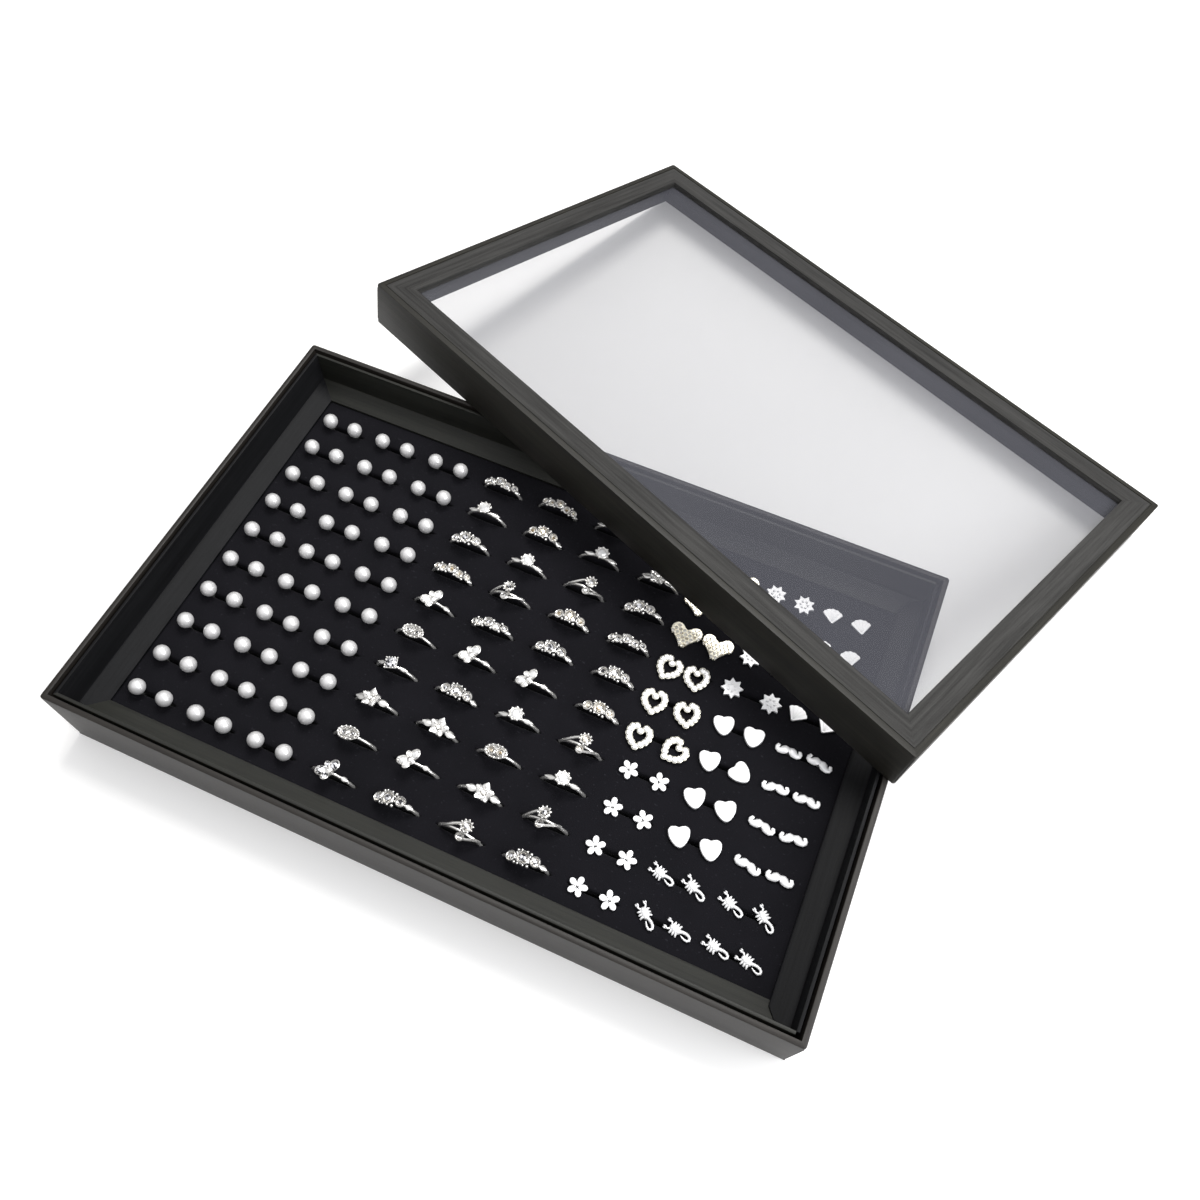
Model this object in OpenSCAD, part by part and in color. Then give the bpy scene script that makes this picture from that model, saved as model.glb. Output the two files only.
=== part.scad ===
// Jewellery display box: a paper-covered tray with a slit velvet pad, a lift-off
// lid with a clear window leaning on it, and the rings and studs shown in the pad.
// Millimetres, +Z up, origin at the centre of the tray's underside, +X along its length.

/* [Tray] */
// Outside length of the tray
tray_l = 230; // [226:1:236]
// Outside width of the tray
tray_w = 148; // [146:1:152]
// Outside height of the tray
tray_h = 28; // [26:0.5:32]
// Thickness of the grey board walls
board_t = 1.1; // [0.9:0.1:1.2]
// Thickness of the grey board floor
floor_t = 1.4; // [1.2:0.1:1.6]
// Thickness of the black covering paper
paper_t = 0.3; // [0.25:0.05:0.35]
// How far the covering paper turns down inside the rim
turn_in = 15; // [8:1:18]

/* [Lid] */
// Free gap between the lid's skirt and the tray on each side
lid_clear = 0.8; // [0.4:0.1:1]
// Height of the lid
lid_h = 16; // [14:0.5:20]
// Thickness of the lid's skirt board
skirt_t = 1.2; // [0.9:0.1:1.4]
// Thickness of the lid's top board
top_t = 1.5; // [1.2:0.1:1.8]
// Width of the skirt's paper that turns onto the top
shoulder = 2; // [1.5:0.1:2.5]
// Width of the frame around the window
border = 9.9; // [9:0.1:14]
// Thickness of the clear window film
film_t = 0.3; // [0.2:0.05:0.5]
// Turn of the leaning lid about the vertical
lid_yaw = -23; // [-26:0.5:-20]
// Place along the tray's right rim where the lid's corner rests
lid_rest_y = 3.2; // [2:0.1:8]

/* [Pad] */
// Height of the velvet face above the underside
pad_z = 13; // [12.5:0.1:13.5]
// Thickness of the velvet face
velvet_t = 0.6; // [0.4:0.1:0.8]
// Distance between slits along the length
pitch_x = 20.7; // [20.2:0.1:20.8]
// Distance between slits across the width
pitch_y = 12.4; // [12:0.1:12.5]
// Length of one slit
slit_l = 16.4; // [16.2:0.1:16.8]
// Width of one slit
slit_w = 2.6; // [2.4:0.1:3]

/* [Collar] */
// Gap between the tray wall and the inner collar
collar_gap = 0.8; // [0.5:0.1:1]
// Thickness of the collar card
collar_t = 1; // [0.8:0.1:1.2]
// Drop from the rim to the top of the collar
collar_drop = 0.8; // [0.5:0.1:2]
// Width of the sloping flange that holds the pad down
flange_w = 6.8; // [6:0.1:7]
// Rise of the flange from the pad to the wall
flange_rise = 1.7; // [1:0.1:2.5]

/* [Jewellery] */
// Outside radius of a finger ring
ring_r = 7.7; // [7.5:0.1:7.9]
// Width of a ring's band
band_w = 1.3; // [1:0.1:1.4]
// Thickness of a ring's band
band_t = 0.8; // [0.6:0.1:1]
// Radius of a pearl
pearl_r = 2.5; // [2.3:0.1:2.9]
// Distance of a stud from the middle of its slit
stud_x = 4.8; // [4.4:0.1:5]

/* [Hidden] */
$fn = 48;

rim_t = board_t + 2 * paper_t;                  // a covered tray wall
stay_t = paper_t / 2;                           // paper tape that joins the board corners
stay_w = 9;
liner_t = 0.2;
floor_z = paper_t + floor_t;                    // top of the floor board
inside_z = floor_z + liner_t;                   // top of the floor paper
collar_out_x = tray_l / 2 - rim_t - collar_gap; // outer faces of the collar
collar_out_y = tray_w / 2 - rim_t - collar_gap;
collar_in_x = collar_out_x - collar_t;
collar_in_y = collar_out_y - collar_t;
collar_top = tray_h - collar_drop;
flange_t = 0.9;
flange_lift = 0.1;                              // flange edge above the velvet
lap = flange_t + 0.2;                           // the right collar lies over its neighbours
foam_gap = 0.2;
slit_floor = inside_z;                          // the slits go right through the foam

lid_wall = skirt_t + 2 * paper_t;
lid_l = tray_l + 2 * (lid_clear + lid_wall);
lid_w = tray_w + 2 * (lid_clear + lid_wall);
groove = 0.35;                                  // seam between skirt paper and top paper
rest_gap = 0.02;
lid_tilt = asin((tray_h + rest_gap) / (lid_w - lid_wall));
corner_gap = 0.5;                               // lid corner clear of the tray's right side
top_z = lid_h - paper_t;                        // upper face of the top board
film_top = top_z - top_t - paper_t;
film_edge = 5;                                  // film glued beyond the window edge
tape_t = 0.2;

grid_x = -1;                                    // middle of the slit grid
grid_y = -1.5;
COLS = 10;
ROWS = 10;
// What stands in each slit, from the front row to the back row: P pearl studs,
// rings b butterfly, o oval, s star, q cushion, e row, t three-stone, r round, y bypass,
// studs F flower, S scorpion, H heart, O open heart, V pave heart, M moustache,
// X starburst, D fan.
PLAN = ["PPPbtytFSS",
        "PPPobsyFSS",
        "PPPssorFHM",
        "PPPqtryFHM",
        "PPPobbtOHM",
        "PPPbettOHM",
        "PPPeyteOXD",
        "PPPtrytVXD",
        "PPPrtrsVXD",
        "PPPeertVXD"];
// How the two studs of a slit lie, in degrees: letter, its first row, then a pair for each row
TURNS = [["H", 2, [[23, 18], [23, 23], [13, 63], [18, 6]]],
    ["M", 2, [[-13, -1], [-9, 8], [6, 0], [0, -12]]],
    ["O", 4, [[3, -38], [7, 16], [-14, 11]]],
    ["V", 7, [[1, 1], [12, 4], [8, 10]]],
    ["D", 6, [[-17, -17], [5, -10], [18, 14], [10, 20]]]];
SCORPION_TURNS = [[-45, -14], [-16, -18], [-20, -30], [-26, -40]];

ring_z = inside_z + 0.1 + ring_r;               // ring centre, its band just above the floor
stud_z = pad_z + 0.3;                           // underside of a flat stud
stud_t = 0.9;
post_r = 0.4;
post_l = 8;
pearl_seat = 0.7;                               // metal cup under a pearl
stone_n = 8;

function slot_x(c) = (c - (COLS - 1) / 2) * pitch_x + grid_x;
function slot_y(r) = (r - (ROWS - 1) / 2) * pitch_y + grid_y;
function sway(c, r, k) = sin(137 * c + 61 * r + 223 * k);   // repeatable unevenness, -1 to 1

// ---------- helpers ----------

// A box centred on the Z axis, from height z0 to z1
module slab(l, w, z0, z1) {
    translate([-l / 2, -w / 2, z0]) cube([l, w, z1 - z0]);
}

// A rectangular ring of walls from z0 to z1; t is the wall's thickness
module walls(l, w, t, z0, z1) {
    difference() {
        slab(l, w, z0, z1);
        slab(l - 2 * t, w - 2 * t, z0 - 1, z1 + 1);
    }
}

// Four folded strips of paper tape round the corners of a board box
module stays(l, w, z0, z1) {
    difference() {
        walls(l + 2 * stay_t, w + 2 * stay_t, stay_t, z0, z1);
        slab(l - 2 * stay_w, w + 4, z0 - 1, z1 + 1);
        slab(l + 4, w - 2 * stay_w, z0 - 1, z1 + 1);
    }
}

// Puts the lid's own frame (bottom edges at z 0) where it leans on the tray
module leaning() {
    translate([tray_l / 2 + corner_gap, lid_rest_y, tray_h + rest_gap])
        rotate([0, 0, lid_yaw])
            rotate([-lid_tilt, 0, 0])
                translate([-(lid_l / 2 - lid_wall), lid_w / 2 - lid_wall, 0])
                    children();
}

// ---------- tray ----------

module floor_board() {
    color([0.55, 0.53, 0.5])
        slab(tray_l - 2 * rim_t + 2 * paper_t, tray_w - 2 * rim_t + 2 * paper_t, paper_t, floor_z);
}

module wall_board() {
    color([0.55, 0.53, 0.5])
        walls(tray_l - 2 * paper_t, tray_w - 2 * paper_t, board_t, paper_t, tray_h - paper_t);
}

module corner_stays() {
    color([0.72, 0.66, 0.55])
        stays(tray_l - 2 * paper_t, tray_w - 2 * paper_t, 2, tray_h - 2);
}

module base_wrap() {
    color([0.09, 0.09, 0.09]) {
        difference() {
            union() {
                walls(tray_l, tray_w, paper_t, paper_t, tray_h);
                walls(tray_l, tray_w, rim_t, tray_h - paper_t, tray_h);
                walls(tray_l - 2 * (rim_t - paper_t), tray_w - 2 * (rim_t - paper_t), paper_t,
                    tray_h - turn_in, tray_h);
            }
            corner_stays();
        }
    }
}

module bottom_paper() {
    color([0.09, 0.09, 0.09]) slab(tray_l, tray_w, 0, paper_t);
}

module floor_paper() {
    color([0.12, 0.12, 0.12])
        slab(2 * collar_out_x, 2 * collar_out_y, floor_z, inside_z);
}

// ---------- pad ----------

module slits() {
    for (c = [0 : COLS - 1], r = [0 : ROWS - 1])
        translate([slot_x(c) - slit_l / 2, slot_y(r) - slit_w / 2, slit_floor - 1])
            cube([slit_l, slit_w, pad_z]);
}

module foam_pad() {
    color([0.07, 0.07, 0.07])
        difference() {
            slab(2 * (collar_in_x - foam_gap), 2 * (collar_in_y - foam_gap),
                inside_z, pad_z - velvet_t);
            slits();
        }
}

module velvet_face() {
    color([0.05, 0.05, 0.07])
        difference() {
            slab(2 * (collar_in_x - foam_gap), 2 * (collar_in_y - foam_gap),
                pad_z - velvet_t, pad_z);
            slits();
        }
}

// Section of a collar strip: an upright leg and a flange that slopes down to the pad.
// The first number is the distance in from the leg's outer face; raise lifts the flange.
module collar_section(raise) {
    edge = pad_z + flange_lift + raise;
    polygon([[0, inside_z], [0, collar_top], [collar_t, collar_top],
        [collar_t, edge + flange_rise + flange_t], [collar_t + flange_w, edge + flange_t],
        [collar_t + flange_w, edge], [collar_t, edge + flange_rise], [collar_t, inside_z]]);
}

// A strip along +X, its leg's outer face at y 0 and its flange towards +Y
module collar_strip(l, raise) {
    rotate([90, 0, 90])
        linear_extrude(l)
            collar_section(raise);
}

module long_collar() {
    cut = 2 * (collar_t + flange_w);
    difference() {
        translate([-collar_out_x, -collar_out_y, 0])
            collar_strip(2 * collar_out_x, 0);
        // mitred where it meets the left strip
        translate([-collar_out_x, -collar_out_y, 0])
            rotate([0, 0, 45])
                translate([-cut, 0, 0])
                    cube([2 * cut, cut, tray_h]);
        // butted against the right strip's leg
        translate([collar_in_x, -collar_out_y - 1, 0])
            cube([collar_t + 1, cut, tray_h]);
    }
}

module collar_front() {
    color([0.13, 0.13, 0.13]) long_collar();
}

module collar_back() {
    color([0.13, 0.13, 0.13]) mirror([0, 1, 0]) long_collar();
}

module collar_left() {
    cut = 2 * (collar_t + flange_w);
    color([0.14, 0.14, 0.15])
        difference() {
            translate([-collar_out_x, collar_out_y, 0])
                rotate([0, 0, -90])
                    collar_strip(2 * collar_out_y, 0);
            for (flip = [0, 1])
                mirror([0, flip, 0])
                    translate([-collar_out_x, -collar_out_y, 0])
                        rotate([0, 0, 45])
                            translate([-cut, -cut, 0])
                                cube([3 * cut, cut, tray_h]);
        }
}

// The right strip is laid in last, over the ends of the long ones
module collar_right() {
    clip = 3.6;
    color([0.14, 0.14, 0.15])
        difference() {
            translate([collar_out_x, -collar_out_y, 0])
                rotate([0, 0, 90])
                    collar_strip(2 * collar_out_y, lap);
            long_collar();
            mirror([0, 1, 0]) long_collar();
            for (side = [-1, 1])
                translate([collar_in_x - flange_w, side * (collar_in_y + 0.6), pad_z])
                    rotate([0, 0, 45])
                        slab(clip * sqrt(2), clip * sqrt(2), 0, tray_h - pad_z);
        }
}

// ---------- lid, in its own frame ----------

module lid_skirt_board() {
    color([0.55, 0.53, 0.5])
        leaning()
            walls(lid_l - 2 * paper_t, lid_w - 2 * paper_t, skirt_t, paper_t, top_z);
}

module lid_top_board() {
    color([0.55, 0.53, 0.5])
        leaning()
            walls(lid_l - 2 * (paper_t + skirt_t), lid_w - 2 * (paper_t + skirt_t),
                border - 2 * paper_t - skirt_t, top_z - top_t, top_z);
}

module lid_stays() {
    stays(lid_l - 2 * paper_t, lid_w - 2 * paper_t, 1.5, lid_h - 1.5);
}

module lid_corner_stays() {
    color([0.72, 0.66, 0.55]) leaning() lid_stays();
}

module lid_skirt_wrap() {
    inner = lid_wall - paper_t;
    color([0.1, 0.1, 0.1])
        leaning()
            difference() {
                union() {
                    walls(lid_l, lid_w, paper_t, 0, lid_h);
                    walls(lid_l, lid_w, shoulder, top_z, lid_h);
                    walls(lid_l, lid_w, lid_wall, 0, paper_t);
                    walls(lid_l - 2 * inner, lid_w - 2 * inner, paper_t, 0, top_z - top_t);
                }
                lid_stays();
            }
}

module lid_top_wrap() {
    edge = shoulder + groove;
    under = 6;
    color([0.12, 0.12, 0.12])
        leaning() {
            walls(lid_l - 2 * edge, lid_w - 2 * edge, border - edge, top_z, lid_h);
            walls(lid_l - 2 * (border - paper_t), lid_w - 2 * (border - paper_t), paper_t,
                film_top, top_z);
            walls(lid_l - 2 * (border - under), lid_w - 2 * (border - under), under - paper_t,
                film_top, film_top + paper_t);
        }
}

module window_film() {
    color([0.85, 0.88, 0.92, 0.3])
        leaning()
            slab(lid_l - 2 * (border - film_edge), lid_w - 2 * (border - film_edge),
                film_top - film_t, film_top);
}

module film_tape() {
    color([0.1, 0.1, 0.1])
        leaning()
            walls(lid_l - 2 * (border - film_edge), lid_w - 2 * (border - film_edge),
                film_edge - 0.5, film_top - film_t - tape_t, film_top - film_t);
}

// ---------- stones and settings ----------

// A cut stone: table up, standing on its girdle
module stone(r) {
    rotate([0, 0, 22.5]) {
        cylinder(h = 0.15 * r, r = r, $fn = stone_n);
        translate([0, 0, 0.15 * r]) cylinder(h = 0.4 * r, r1 = r, r2 = 0.6 * r, $fn = stone_n);
    }
}

// Places children on the outside of a ring's band, turned a degrees from its top
module on_band(a, lift) {
    rotate([0, a, 0]) translate([0, 0, ring_r + lift]) children();
}

cup_h = 1.5;
cup_sink = 0.6;

module cup(r) {
    translate([0, 0, -cup_sink]) cylinder(h = cup_h, r1 = 0.7 * r, r2 = r);
}

// ---------- rings, in their own frame: centre at the origin, band in the XZ plane ----------

module band() {
    edge = 0.25;
    rotate([90, 0, 0])
        rotate_extrude($fn = 96)
            polygon([[ring_r - band_t, -band_w / 2], [ring_r - edge, -band_w / 2],
                [ring_r, -band_w / 2 + edge], [ring_r, band_w / 2 - edge],
                [ring_r - edge, band_w / 2], [ring_r - band_t, band_w / 2]]);
}

// Settings of each head: [turn along the band, offset along it, side offset,
// outside radius, height above the band, stone's share of that radius]
function settings(kind) =
    kind == "t" ? [[-3, 0, 0, 2.05, 1.5, 0.5], [-28, 0, 0, 1.6, 0.9, 0.5], [22, 0, 0, 1.6, 0.9, 0.5]] :
    kind == "e" ? [for (k = [-2 : 2]) [19.5 * k - 2, 0, 0, 1.65 - 0.2 * abs(k), 0.9 - 0.1 * abs(k), 0.5]] :
    kind == "o" ? [for (k = [-1, 1]) [-4, 1.35 * k, 0, 1.3, 1.3, 0.55]] :
    kind == "q" ? [[0, 0, 0, 1.8, 1.5, 0.85]] :
    kind == "s" ? [[4, 0, 0, 1, 1.7, 0.7]] :
    kind == "b" ? [for (w = [[68, 2, 1.7], [205, 2, 1.75], [262, 1.7, 1.35], [128, 1.8, 1]])
        [-7, w[1] * cos(w[0]), w[1] * sin(w[0]), w[2], 1.25, 0.55]] :
    kind == "r" ? [[5, 0, 0.5, 2.5, 1.6, 0.6]] :
    [[4, 0, 1.7, 2.1, 1.5, 0.6], [2, 0, -1.7, 1.25, 0.9, 0.5]];

// A pointed leaf lying outward from the origin
module leaf(l, w) {
    q = (l * l + w * w) / (4 * w);
    linear_extrude(0.6)
        intersection() {
            translate([l / 2, q - w / 2]) circle(r = q, $fn = 96);
            translate([l / 2, w / 2 - q]) circle(r = q, $fn = 96);
        }
}

// Leaves on both shoulders of a ring, round a place turned a degrees along its band
module shoulders(a, spread, l, w) {
    for (way = [-1, 1])
        on_band(a + way * spread, -0.25) rotate(way > 0 ? 0 : 180) leaf(l, w);
}

// Metal under each head
module head_metal(kind) {
    for (s = settings(kind))
        on_band(s[0], 0) translate([s[1], s[2], -cup_sink])
            cylinder(h = s[4] + cup_sink, r1 = 0.75 * s[3], r2 = s[3]);
    if (kind == "o")
        on_band(-4, -0.3) linear_extrude(1.3) {
            square([3, 4], center = true);
            for (k = [-1, 1]) translate([1.5 * k, 0]) circle(r = 2.05);
        }
    if (kind == "q") {
        on_band(0, -0.4) rotate(17) linear_extrude(1.8) square(3.9, center = true);
        shoulders(0, 18, 3, 1.3);
    }
    if (kind == "s") {
        on_band(4, 0)
            linear_extrude(1)
                polygon([for (i = [0 : 9]) let (q = i % 2 == 0 ? 3.1 : 1.7)
                    [q * cos(36 * i + 18), q * sin(36 * i + 18)]]);
        shoulders(4, 14, 3.6, 2.2);
    }
    if (kind == "r") shoulders(5, 15, 3.6, 1.5);
    if (kind == "b") {
        on_band(-7, -cup_sink) cylinder(h = 1.7, r = 1.5);
        on_band(20, -0.25) leaf(2.6, 1.5);
    }
    if (kind == "y")
        for (side = [-1, 1])
            translate([0, side * 1.05, 0])
                rotate([90, side < 0 ? -50 : -80, 0])
                    rotate_extrude(angle = 50, $fn = 96)
                        translate([ring_r - 0.5, -0.45]) square([0.9, 0.9]);
}

module ring_metal(kind) {
    union() {
        band();
        head_metal(kind);
    }
}

module ring_gems(kind) {
    for (s = settings(kind))
        on_band(s[0], s[4]) translate([s[1], s[2], 0]) stone(s[3] * s[5]);
}

// Stands children in slit c of row r, in a ring's frame
module in_slit(c, r) {
    translate([slot_x(c) + 0.2 * sway(c, r, 1), slot_y(r), ring_z])
        rotate([0, 9 * sway(c, r, 2), 3 * sway(c, r, 3)])
            children();
}

// ---------- studs, in their own frame: post down, head from z 0 up ----------

module post() {
    translate([0, 0, -post_l]) cylinder(h = post_l + 0.1, r = post_r, $fn = 24);
}

// Stands children at stud side (-1 or 1) of slit c in row r
module at_stud(c, r, side, turn) {
    translate([slot_x(c) + side * stud_x, slot_y(r), stud_z])
        rotate([0, 0, turn])
            children();
}

module pearl_post() {
    translate([0, 0, -0.2]) cylinder(h = pearl_seat, r = 1.5);
    post();
}

module pearl_bead() {
    seat = pearl_seat - 0.2;
    difference() {
        translate([0, 0, seat - 0.35 + pearl_r]) sphere(r = pearl_r, $fn = 64);
        translate([-3, -3, seat - 2]) cube([6, 6, 2]);
    }
}

module flower() {
    post();
    linear_extrude(stud_t) {
        circle(r = 1.3);
        for (i = [0 : 4]) rotate(72 * i) translate([2.1, 0]) circle(r = 1.12);
    }
    cylinder(h = stud_t + 0.4, r = 0.8);
}

module heart_outline(s) {
    rotate(45) translate([-s / 2, -s / 2]) {
        square(s);
        translate([s / 2, s]) circle(r = s / 2);
        translate([s, s / 2]) circle(r = s / 2);
    }
}

// Reach of a plump heart's edge from its middle, at every 20 degrees from notch to tip
SOFT_HEART = [2.45, 2.9, 3.5, 3.6, 3.2, 2.95, 2.85, 2.95, 3.25, 3.5];

// Smooth curve through the reaches, at place q from 0 to 18
function soft_reach(q) =
    let (i = floor(q), t = q - i,
        p = [for (k = [i - 1 : i + 2]) let (n = (k + 18) % 18) SOFT_HEART[n < 10 ? n : 18 - n]])
    0.5 * (2 * p[1] + (p[2] - p[0]) * t + (2 * p[0] - 5 * p[1] + 4 * p[2] - p[3]) * t * t +
        (3 * p[1] - p[0] - 3 * p[2] + p[3]) * t * t * t);

module heart() {
    post();
    linear_extrude(1.1)
        polygon([for (i = [0 : 35]) soft_reach(i / 2) * [sin(10 * i), cos(10 * i)]]);
}

open_s = 4.9;
open_hole = 2.7;
open_post = 3;                                  // the post stands under the inner side

module open_heart() {
    linear_extrude(stud_t)
        difference() {
            heart_outline(open_s);
            heart_outline(open_hole);
        }
}

// Points along the middle line of an open heart, from its tip round one side
function stone_line(i) =
    let (m = (open_s + open_hole) / 2, d = m / sqrt(2), a = -45 + 45 * (i - 3))
    i < 3 ? [d * (i + 0.2) / 3, -d + d * (i + 0.2) / 3] :
    [d / 2 + m / 2 * cos(a), d / 2 + m / 2 * sin(a)];

module open_heart_gems() {
    translate([0, 0, stud_t])
        for (side = [-1, 1], i = [0 : 7])
            if ((i > 0 && i < 7) || side > 0)
                translate([side * stone_line(i)[0], stone_line(i)[1], 0]) stone(0.5);
}

// A pave heart: two round lobes spread wide, a deep notch and a narrow tip
lobe = [2.95, 1.5];
lobe_r = 2.15;
pave_tip = [0, -4.6];
pave_notch = [0, 1.9];
pave_post = 1.6;

module pave_heart() {
    v = lobe - pave_tip;
    a = atan2(v[1], v[0]) - asin(0.97 * lobe_r / norm(v));
    side = pave_tip + 0.98 * norm(v) * cos(asin(0.97 * lobe_r / norm(v))) * [cos(a), sin(a)];
    linear_extrude(stud_t)
        for (m = [-1, 1]) scale([m, 1]) {
            translate(lobe) circle(r = lobe_r);
            polygon([pave_tip + [-0.2, 0.1], pave_tip + [0.2, 0], side, lobe + [0, 0.5],
                pave_notch + [0.6, 0.5], pave_notch + [-0.2, 0]]);
        }
}

// True where a stone lies well inside a pave heart
function in_heart(x, y) =
    norm([abs(x) - lobe[0], y - lobe[1]]) < lobe_r - 0.7 ||
    (y < 0.6 && abs(x) < (y - pave_tip[1]) * 0.8 - 0.95);

module pave_gems() {
    step = 1.3;
    translate([0, 0, stud_t])
        for (i = [-3 : 3], j = [-4 : 4])
            let (x = (i + (j % 2 == 0 ? 0 : 0.5)) * step, y = j * step * 0.87)
                if (in_heart(x, y)) translate([x, y, 0]) stone(0.54);
}

// A flat ribbon along a line of [x, y, half width]
module ribbon(line) {
    n = len(line) - 1;
    sides = [for (i = [0 : n])
        let (p = line[max(i - 1, 0)], q = line[min(i + 1, n)], d = [p[1] - q[1], q[0] - p[0]])
            d * line[i][2] / norm(d)];
    polygon(concat([for (i = [0 : n]) [line[i][0], line[i][1]] + sides[i]],
        [for (i = [n : -1 : 0]) [line[i][0], line[i][1]] - sides[i]]));
}

module moustache() {
    post();
    linear_extrude(stud_t)
        for (side = [-1, 1]) scale([side, 1]) {
            translate([1, 0.1]) circle(r = 1.4);
            translate([2.85, 0.8]) circle(r = 0.45);
            ribbon([[0, -0.3, 0.95], [0.9, 0.1, 1.35], [1.6, -0.15, 1.3], [2.2, -0.5, 1.05],
                [2.8, -0.55, 0.9], [3.3, -0.3, 0.8], [3.55, 0.3, 0.65], [3.3, 0.75, 0.55],
                [2.9, 0.85, 0.42]]);
        }
}

module scorpion() {
    post();
    linear_extrude(stud_t) {
        for (w = [[-2.3, 0.8], [-1.6, 1.05], [-0.85, 1.05], [-0.15, 0.85]])
            translate([w[0], 0]) circle(r = w[1]);
        for (side = [-1, 1]) scale([1, side]) {
            ribbon([[-2.4, 0.5, 0.3], [-3, 1.1, 0.3], [-3.6, 1.1, 0.35], [-4.3, 0.95, 0.3]]);
            ribbon([[-3.3, 1.3, 0.3], [-3.9, 1.5, 0.28], [-4.4, 1.5, 0.2]]);
            for (k = [0 : 2])
                ribbon([[-2 + 0.75 * k, 0.5, 0.25], [-2 + 0.85 * k, 1.35, 0.25],
                    [-2.1 + 1.05 * k, 1.85, 0.15]]);
        }
        // curled tail
        ribbon([[0.1, 0.15, 0.5], [0.9, 0.55, 0.45], [1.7, 0.75, 0.42], [2.6, 0.75, 0.42],
            [3.3, 0.4, 0.42], [3.5, -0.2, 0.4], [3.1, -0.75, 0.36], [2.3, -0.85, 0.3],
            [1.5, -0.7, 0.24], [0.9, -0.5, 0.12]]);
    }
}

module starburst() {
    post();
    linear_extrude(stud_t)
        polygon([for (i = [0 : 15]) let (q = i % 2 == 0 ? 3.6 : 2.4)
            [q * cos(22.5 * i), q * sin(22.5 * i)]]);
}

module fan() {
    post();
    linear_extrude(stud_t)
        translate([0, -2.65])
            intersection() {
                circle(r = 5.1);
                rotate(45) square(7);
            }
}

// ---------- the same thing in every slit of one kind ----------

function stud_turn(letter, c, r, side) =
    let (k = side < 0 ? 0 : 1, rows = [for (t = TURNS) if (t[0] == letter) t])
    letter == "S" ? SCORPION_TURNS[2 * r + c - 8][k] :
    letter == "F" ? 36 * sway(c, r, side) :
    letter == "X" ? 40 * sway(c, r, side) :
    len(rows) > 0 ? rows[0][2][r - rows[0][1]][k] : 0;

module studs_of(letter, upright = false) {
    for (r = [0 : ROWS - 1], c = [0 : COLS - 1], side = [-1, 1])
        if (PLAN[r][c] == letter && !(r == 0 && (c == 0 || c == 7)))
            let ($side = side)
                translate([stud_slide(letter, r, side), upright ? 0 : -stud_hang(letter), 0])
                    at_stud(c, r, side, upright ? 0 : stud_turn(letter, c, r, side)) children();
}

// How far a stud stands from its usual place along the slit
function stud_slide(letter, r, side) =
    letter == "D" ? -1.5 :
    letter == "V" ? (side < 0 ? -0.8 : 0.2) :
    letter == "X" && r == 6 ? (side < 0 ? -1.8 : 1.2) :
    letter == "O" ? (side < 0 ? -1.4 : r == 4 ? 0.5 : r == 5 ? -0.3 : -1.9) : 0;

// How far the middle of a stud lies in front of its post
function stud_hang(letter) = letter == "O" ? 1.6 : letter == "V" ? 1.2 : 0;

KINDS = "bosqetry";

module each_ring() {
    for (r = [1 : ROWS - 1], c = [3 : 6], i = [0 : len(KINDS) - 1])
        if (PLAN[r][c] == KINDS[i]) in_slit(c, r) children(i);
}

silver = [0.82, 0.82, 0.82];
crystal = [0.9, 0.88, 0.82];

module pearl_beads() {
    color([0.93, 0.92, 0.9]) studs_of("P") pearl_bead();
}

module pearl_posts() {
    color(silver) studs_of("P") pearl_post();
}

module ring_bands() {
    color(silver)
        each_ring() {
            ring_metal("b");
            ring_metal("o");
            ring_metal("s");
            ring_metal("q");
            ring_metal("e");
            ring_metal("t");
            ring_metal("r");
            ring_metal("y");
        }
}

module ring_stones() {
    color(crystal)
        each_ring() {
            ring_gems("b");
            ring_gems("o");
            ring_gems("s");
            ring_gems("q");
            ring_gems("e");
            ring_gems("t");
            ring_gems("r");
            ring_gems("y");
        }
}

module flower_studs() {
    color(silver) studs_of("F") flower();
}

module heart_studs() {
    color(silver) studs_of("H") heart();
}

module open_heart_studs() {
    color(silver) {
        studs_of("O") open_heart();
        studs_of("O", upright = true) translate([-$side * open_post, 0, 0]) post();
    }
}

module open_heart_stones() {
    color(crystal) studs_of("O") open_heart_gems();
}

module pave_heart_studs() {
    color(silver) {
        studs_of("V") pave_heart();
        studs_of("V", upright = true) translate([-$side * pave_post, 0, 0]) post();
    }
}

module pave_heart_stones() {
    color(crystal) studs_of("V") pave_gems();
}

module moustache_studs() {
    color(silver) studs_of("M") moustache();
}

module scorpion_studs() {
    color(silver) studs_of("S") scorpion();
}

module starburst_studs() {
    color(silver) studs_of("X") starburst();
}

module fan_studs() {
    color(silver) studs_of("D") fan();
}

// ---------- the front row's pieces that lift out one by one ----------

module front_ring(i) {
    color(silver) in_slit(2 + i, 0) ring_metal(PLAN[0][2 + i]);
}

module front_ring_stones(i) {
    color(crystal) in_slit(2 + i, 0) ring_gems(PLAN[0][2 + i]);
}

module front_pearl(side) {
    color([0.93, 0.92, 0.9]) at_stud(0, 0, side, 0) pearl_bead();
}

module front_pearl_post(side) {
    color(silver) at_stud(0, 0, side, 0) pearl_post();
}

module front_flower(side) {
    color(silver) at_stud(7, 0, side, 36 * sway(7, 0, side)) flower();
}

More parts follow.
